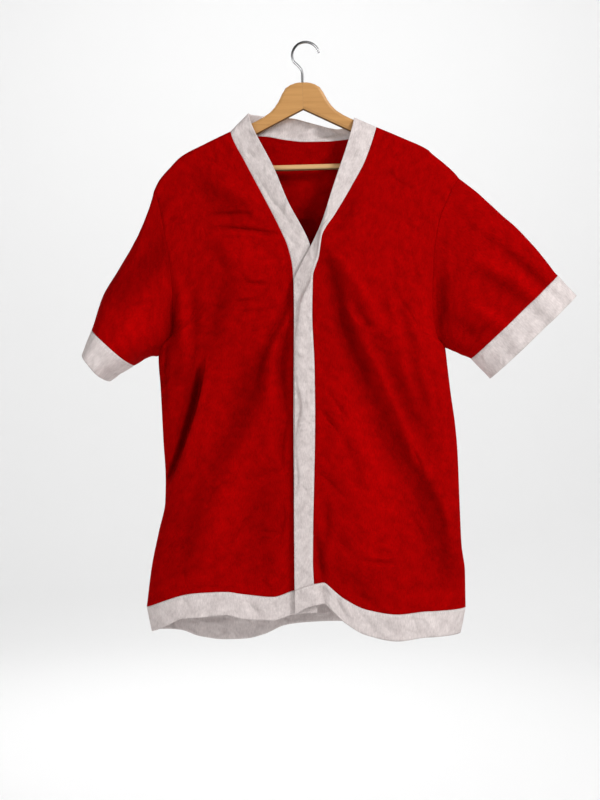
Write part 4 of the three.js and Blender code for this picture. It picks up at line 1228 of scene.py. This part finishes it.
# %% The felt's nap, shared by both cloths
def new_material(name, colour, roughness, metallic=0.0, specular=0.5):
    paint = bpy.data.materials.new(name)
    paint.use_nodes = True
    shader = paint.node_tree.nodes["Principled BSDF"]
    shader.inputs["Base Color"].default_value = (*colour, 1)
    shader.inputs["Roughness"].default_value = roughness
    shader.inputs["Metallic"].default_value = metallic
    shader.inputs["Specular IOR Level"].default_value = specular
    return paint


def add_node(tree, kind, **settings):
    node = tree.nodes.new(kind)
    for key, value in settings.items():
        if key in node.inputs:
            node.inputs[key].default_value = value
        else:
            setattr(node, key, value)
    return node


def ramp_node(tree, source, stops):
    """A colour ramp driven by one output: stops are (position, colour)."""
    ramp = tree.nodes.new("ShaderNodeValToRGB")
    elements = ramp.color_ramp.elements
    for _ in range(len(stops) - 2):
        elements.new(0.5)
    for element, (position, colour) in zip(elements, stops):
        element.position = position
        element.color = (*colour, 1)
    tree.links.new(source, ramp.inputs["Fac"])
    return ramp.outputs["Color"]


def felt_group():
    """Nap of brushed felt: where (metres on the cloth) to a shade and a height."""
    tree = bpy.data.node_groups.new("felt nap", "ShaderNodeTree")
    tree.interface.new_socket("Where", in_out="INPUT", socket_type="NodeSocketVector")
    tree.interface.new_socket("Shade", in_out="OUTPUT", socket_type="NodeSocketFloat")
    tree.interface.new_socket("Height", in_out="OUTPUT", socket_type="NodeSocketFloat")
    entry, leave = tree.nodes.new("NodeGroupInput"), tree.nodes.new("NodeGroupOutput")
    patches = add_node(tree, "ShaderNodeTexNoise", Scale=55.0, Detail=6.0, Roughness=0.6)
    streaks = add_node(tree, "ShaderNodeTexNoise", Scale=1.0, Detail=4.0, Roughness=0.6)
    stretch = add_node(tree, "ShaderNodeVectorMath", operation="MULTIPLY")
    stretch.inputs[1].default_value = (520.0, 150.0, 1.0)
    fibres = add_node(tree, "ShaderNodeTexNoise", Scale=1500.0, Detail=3.0, Roughness=0.7)
    for texture in (patches, fibres):
        tree.links.new(entry.outputs["Where"], texture.inputs["Vector"])
    tree.links.new(entry.outputs["Where"], stretch.inputs[0])
    tree.links.new(stretch.outputs[0], streaks.inputs["Vector"])
    both = add_node(tree, "ShaderNodeMath", operation="ADD")
    tree.links.new(patches.outputs["Fac"], both.inputs[0])
    tree.links.new(streaks.outputs["Fac"], both.inputs[1])
    shade = add_node(tree, "ShaderNodeMath", operation="MULTIPLY")
    tree.links.new(both.outputs[0], shade.inputs[0])
    shade.inputs[1].default_value = 0.5
    height = add_node(tree, "ShaderNodeMath", operation="ADD")
    tree.links.new(shade.outputs[0], height.inputs[0])
    tree.links.new(fibres.outputs["Fac"], height.inputs[1])
    tree.links.new(shade.outputs[0], leave.inputs["Shade"])
    tree.links.new(height.outputs[0], leave.inputs["Height"])
    return tree


nap = felt_group()
print("nap group has", len(nap.nodes), "nodes")

# %% [markdown]
# Each felt takes its dark and light tone from the nap. The "fold" number on each vertex then
# paints shade into the troughs and painted light onto the crests, and two bumps, one on top of
# the other, give the crinkles and the nap.

# %% Red and white felt
RED_DARK, RED_LIGHT = (0.2, 0.0003, 0.0004), (0.44, 0.0006, 0.0008)
# Painted shade and light from crease depth: the colour is scaled down to 0.66 in a trough and up to 1.22
# on a crest.
TROUGH_SHADE_TO_CREST_LIGHT = (-12, 8, 0.66, 1.22)
WHITE_DARK, WHITE_LIGHT = (0.46, 0.4, 0.39), (0.83, 0.75, 0.73)


def felt(name, dark, light, nap_depth, crinkle_depth, crinkle_scale):
    """Mottled by the nap, with painted shade in a crease's trough and painted light on its crest, and
    crinkled. Depths are in metres.
    """
    paint = new_material(name, light, 0.95, specular=0.01)
    tree = paint.node_tree
    shader = tree.nodes["Principled BSDF"]
    shader.inputs["Sheen Weight"].default_value = 0.04
    shader.inputs["Sheen Roughness"].default_value = 0.6
    shader.inputs["Sheen Tint"].default_value = (*light, 1)
    where = add_node(tree, "ShaderNodeUVMap", uv_map=UV)
    group = add_node(tree, "ShaderNodeGroup", node_tree=nap)
    tree.links.new(where.outputs["UV"], group.inputs["Where"])
    mottled = ramp_node(tree, group.outputs["Shade"], [(0.3, dark), (0.72, light)])
    # Painted shade in crease troughs and painted highlights on crests, from each vertex's crease depth.
    depth = add_node(tree, "ShaderNodeAttribute", attribute_name=FOLD)
    painted_fold_shade = add_node(tree, "ShaderNodeMapRange")
    for socket, value in zip(("From Min", "From Max", "To Min", "To Max"), TROUGH_SHADE_TO_CREST_LIGHT):
        painted_fold_shade.inputs[socket].default_value = value
    tree.links.new(depth.outputs["Fac"], painted_fold_shade.inputs["Value"])
    shaded = add_node(tree, "ShaderNodeVectorMath", operation="SCALE")
    tree.links.new(mottled, shaded.inputs[0])
    tree.links.new(painted_fold_shade.outputs["Result"], shaded.inputs["Scale"])
    tree.links.new(shaded.outputs[0], shader.inputs["Base Color"])
    bump = add_node(tree, "ShaderNodeBump", Strength=1.0, Distance=nap_depth)
    tree.links.new(group.outputs["Height"], bump.inputs["Height"])
    folds = add_node(tree, "ShaderNodeTexNoise", noise_type="RIDGED_MULTIFRACTAL", Scale=crinkle_scale,
                     Detail=3.0, Roughness=0.5, Distortion=0.6)
    tree.links.new(where.outputs["UV"], folds.inputs["Vector"])
    crinkle = add_node(tree, "ShaderNodeBump", Strength=1.0, Distance=crinkle_depth)
    tree.links.new(folds.outputs["Fac"], crinkle.inputs["Height"])
    tree.links.new(crinkle.outputs["Normal"], bump.inputs["Normal"])
    tree.links.new(bump.outputs["Normal"], shader.inputs["Normal"])
    return paint


red_felt = felt("red_felt", RED_DARK, RED_LIGHT,
                nap_depth=0.0005, crinkle_depth=0.0034, crinkle_scale=26.0)
white_felt = felt("white_felt", WHITE_DARK, WHITE_LIGHT,
                  nap_depth=0.0004, crinkle_depth=0.0044, crinkle_scale=42.0)
thread = new_material("white_thread", (0.8, 0.76, 0.75), 0.7, specular=0.2)
print("cloth finishes:", red_felt.name, white_felt.name, thread.name)

# %% [markdown]
# The hanger is varnished beech, with the grain running along each arm and along the bar. The
# hook is plated wire.

# %% Wood and chrome
# Painted shade for the faces of the wood that look down.
UNDERSIDE_PAINTED_SHADE = (0.3, 0.3, 0.3)
MIX_FIRST, MIX_SECOND, MIX_RESULT = 6, 7, 2


def wood(name, pale, dark, grain_turn):
    """Grain stretched along the piece, and painted shade: a darker face where it looks down."""
    paint = new_material(name, pale, 0.45, specular=0.35)
    tree = paint.node_tree
    where = tree.nodes.new("ShaderNodeTexCoord")
    turn = add_node(tree, "ShaderNodeMapping")
    turn.inputs["Rotation"].default_value = (0, grain_turn, 0)
    turn.inputs["Scale"].default_value = (9.0, 240.0, 240.0)
    tree.links.new(where.outputs["Object"], turn.inputs["Vector"])
    grain = add_node(tree, "ShaderNodeTexNoise", Scale=1.0, Detail=4.0, Roughness=0.55)
    tree.links.new(turn.outputs["Vector"], grain.inputs["Vector"])
    grained = ramp_node(tree, grain.outputs["Fac"], [(0.3, dark), (0.7, pale)])
    up = tree.nodes.new("ShaderNodeSeparateXYZ")
    tree.links.new(where.outputs["Normal"], up.inputs["Vector"])
    height = add_node(tree, "ShaderNodeMath", operation="MULTIPLY_ADD")
    height.inputs[1].default_value = 0.5
    height.inputs[2].default_value = 0.5
    tree.links.new(up.outputs["Z"], height.inputs[0])
    # Painted shade: faces that look down are darkened, as if shaded from the lamps above.
    shade = ramp_node(tree, height.outputs[0], [(0.12, UNDERSIDE_PAINTED_SHADE), (0.3, (1, 1, 1))])
    both = add_node(tree, "ShaderNodeMix", data_type="RGBA", blend_type="MULTIPLY")
    both.inputs["Factor"].default_value = 1.0
    tree.links.new(grained, both.inputs[MIX_FIRST])
    tree.links.new(shade, both.inputs[MIX_SECOND])
    tree.links.new(both.outputs[MIX_RESULT], tree.nodes["Principled BSDF"].inputs["Base Color"])
    return paint


def chrome():
    """Plated wire with painted reflections: dark and light bands, set by which way the surface faces,
    run along it in place of a room's walls and floor mirrored in it.
    """
    paint = new_material("hook_chrome", (0.6, 0.6, 0.61), 0.16, metallic=1.0)
    tree = paint.node_tree
    where = tree.nodes.new("ShaderNodeTexCoord")
    # Painted reflections: the base colour is banded dark and light by which way the surface faces.
    side = add_node(tree, "ShaderNodeVectorMath", operation="DOT_PRODUCT")
    side.inputs[1].default_value = (0.42, -0.2, 0.5)
    tree.links.new(where.outputs["Normal"], side.inputs[0])
    spread = add_node(tree, "ShaderNodeMath", operation="ADD")
    spread.inputs[1].default_value = 0.5
    tree.links.new(side.outputs["Value"], spread.inputs[0])
    bands = ramp_node(tree, spread.outputs[0], [
        (0.0, (0.05, 0.05, 0.05)), (0.3, (0.2, 0.2, 0.19)), (0.45, (0.6, 0.6, 0.61)),
        (0.6, (0.06, 0.06, 0.06)), (0.74, (0.1, 0.1, 0.1)), (0.88, (0.5, 0.5, 0.51))])
    tree.links.new(bands, tree.nodes["Principled BSDF"].inputs["Base Color"])
    return paint


ARM_PALE, ARM_DARK = (0.56, 0.29, 0.094), (0.47, 0.23, 0.07)
hanger_finish = {
    "hanger_arm_right": wood("arm_wood_right", ARM_PALE, ARM_DARK, math.radians(-24)),
    "hanger_arm_left": wood("arm_wood_left", ARM_PALE, ARM_DARK, math.radians(24)),
    "hanger_bar": wood("bar_wood", (0.74, 0.46, 0.21), (0.63, 0.37, 0.16), 0),
    "hanger_hook": chrome(),
}
print("hanger's finishes:", [paint.name for paint in hanger_finish.values()])

# %% [markdown]
# The two arms are glued at the middle. The film of glue shows as a thin brown line. It is drawn
# out of the right arm's own end face: a copy of the arm is cut down to that face, which is then
# extruded across the joint, so it follows the arm's section exactly.

# %% The glued joint
GLUE = 0.00026
GLUE_PROUD = 0.08
GLUE_BROWN = (0.3, 0.15, 0.06)


def glue_film():
    across = Vector((math.cos(HANGER_TILT), 0, math.sin(HANGER_TILT)))
    bm = bmesh.new()
    bm.from_mesh(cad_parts["hanger_arm_right"].data)
    bmesh.ops.remove_doubles(bm, verts=bm.verts, dist=1e-6)
    reach = max(v.co.dot(across) for v in bm.verts)
    rest = [f for f in bm.faces if any(v.co.dot(across) < reach - GLUE for v in f.verts)]
    bmesh.ops.delete(bm, geom=rest, context="FACES")
    grown = bmesh.ops.extrude_face_region(bm, geom=list(bm.faces), use_keep_orig=True)
    moved = [v for v in grown["geom"] if isinstance(v, bmesh.types.BMVert)]
    bmesh.ops.translate(bm, verts=moved, vec=across * GLUE)
    bmesh.ops.translate(bm, verts=bm.verts, vec=across * GLUE * GLUE_PROUD)
    bmesh.ops.recalc_face_normals(bm, faces=bm.faces)
    o = make_piece("joint_glue", bm)
    o.data.materials.append(new_material("glue", GLUE_BROWN, 0.5))
    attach(o, "root")
    print("glue film's faces:", len(o.data.polygons))


glue_film()

# %% [markdown]
# Each sheet takes the place of its solids and rides on the one body. `flat` is the size of the
# rectangle that its cut piece fits in, and `area` what the cut really covers.

# %% Dressing the frame
CUTS = table(
    "piece paint flat area nodes",
    ("front_right", "red_felt", (0.31, 0.84), 0.19, ["front_right_upper", "front_right_lower"]),
    ("front_left", "red_felt", (0.31, 0.84), 0.19, ["front_left_upper", "front_left_lower"]),
    ("back", "red_felt", (0.58, 0.86), 0.43,
     ["back_upper_right", "back_upper_left", "back_lower_right", "back_lower_left"]),
    ("sleeve_right", "red_felt", (0.58, 0.24), 0.08, ["sleeve_right_front", "sleeve_right_back"]),
    ("sleeve_left", "red_felt", (0.58, 0.24), 0.08, ["sleeve_left_front", "sleeve_left_back"]),
    ("cuff_right", "white_felt", (0.45, 0.045), 0.0195, ["cuff_right_front", "cuff_right_back"]),
    ("cuff_left", "white_felt", (0.45, 0.045), 0.0195, ["cuff_left_front", "cuff_left_back"]),
    ("band_right", "white_felt", (0.045, 0.86), 0.03,
     ["band_right_neck", "band_right_upper", "band_right_lower"]),
    ("band_left", "white_felt", (0.045, 0.86), 0.03,
     ["band_left_neck", "band_left_upper", "band_left_lower"]),
    ("band_neck", "white_felt", (0.27, 0.045), 0.0085, ["neck_band_back"]),
    ("hem_right", "white_felt", (0.31, 0.045), 0.012, ["hem_front_right"]),
    ("hem_left", "white_felt", (0.32, 0.045), 0.013, ["hem_front_left"]),
    ("hem_back", "white_felt", (0.58, 0.045), 0.024, ["hem_back_right", "hem_back_left"]),
)
FINISH = {"red_felt": red_felt, "white_felt": white_felt}
for cut in CUTS:
    o = sheets[cut["piece"]]
    o.data.materials.append(FINISH[cut["paint"]])
    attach(o, "root")
    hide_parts(*cut["nodes"])
    sewn = stitches.get(cut["piece"])
    if sewn:
        sewn.data.materials.append(thread)
        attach(sewn, "root")
for node, paint in hanger_finish.items():
    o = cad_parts[node]
    o.data.materials.clear()
    o.data.materials.append(paint)
print("sheets dressed:", len(CUTS))

# %% [markdown]
# The dressed coat may not outgrow its solids.
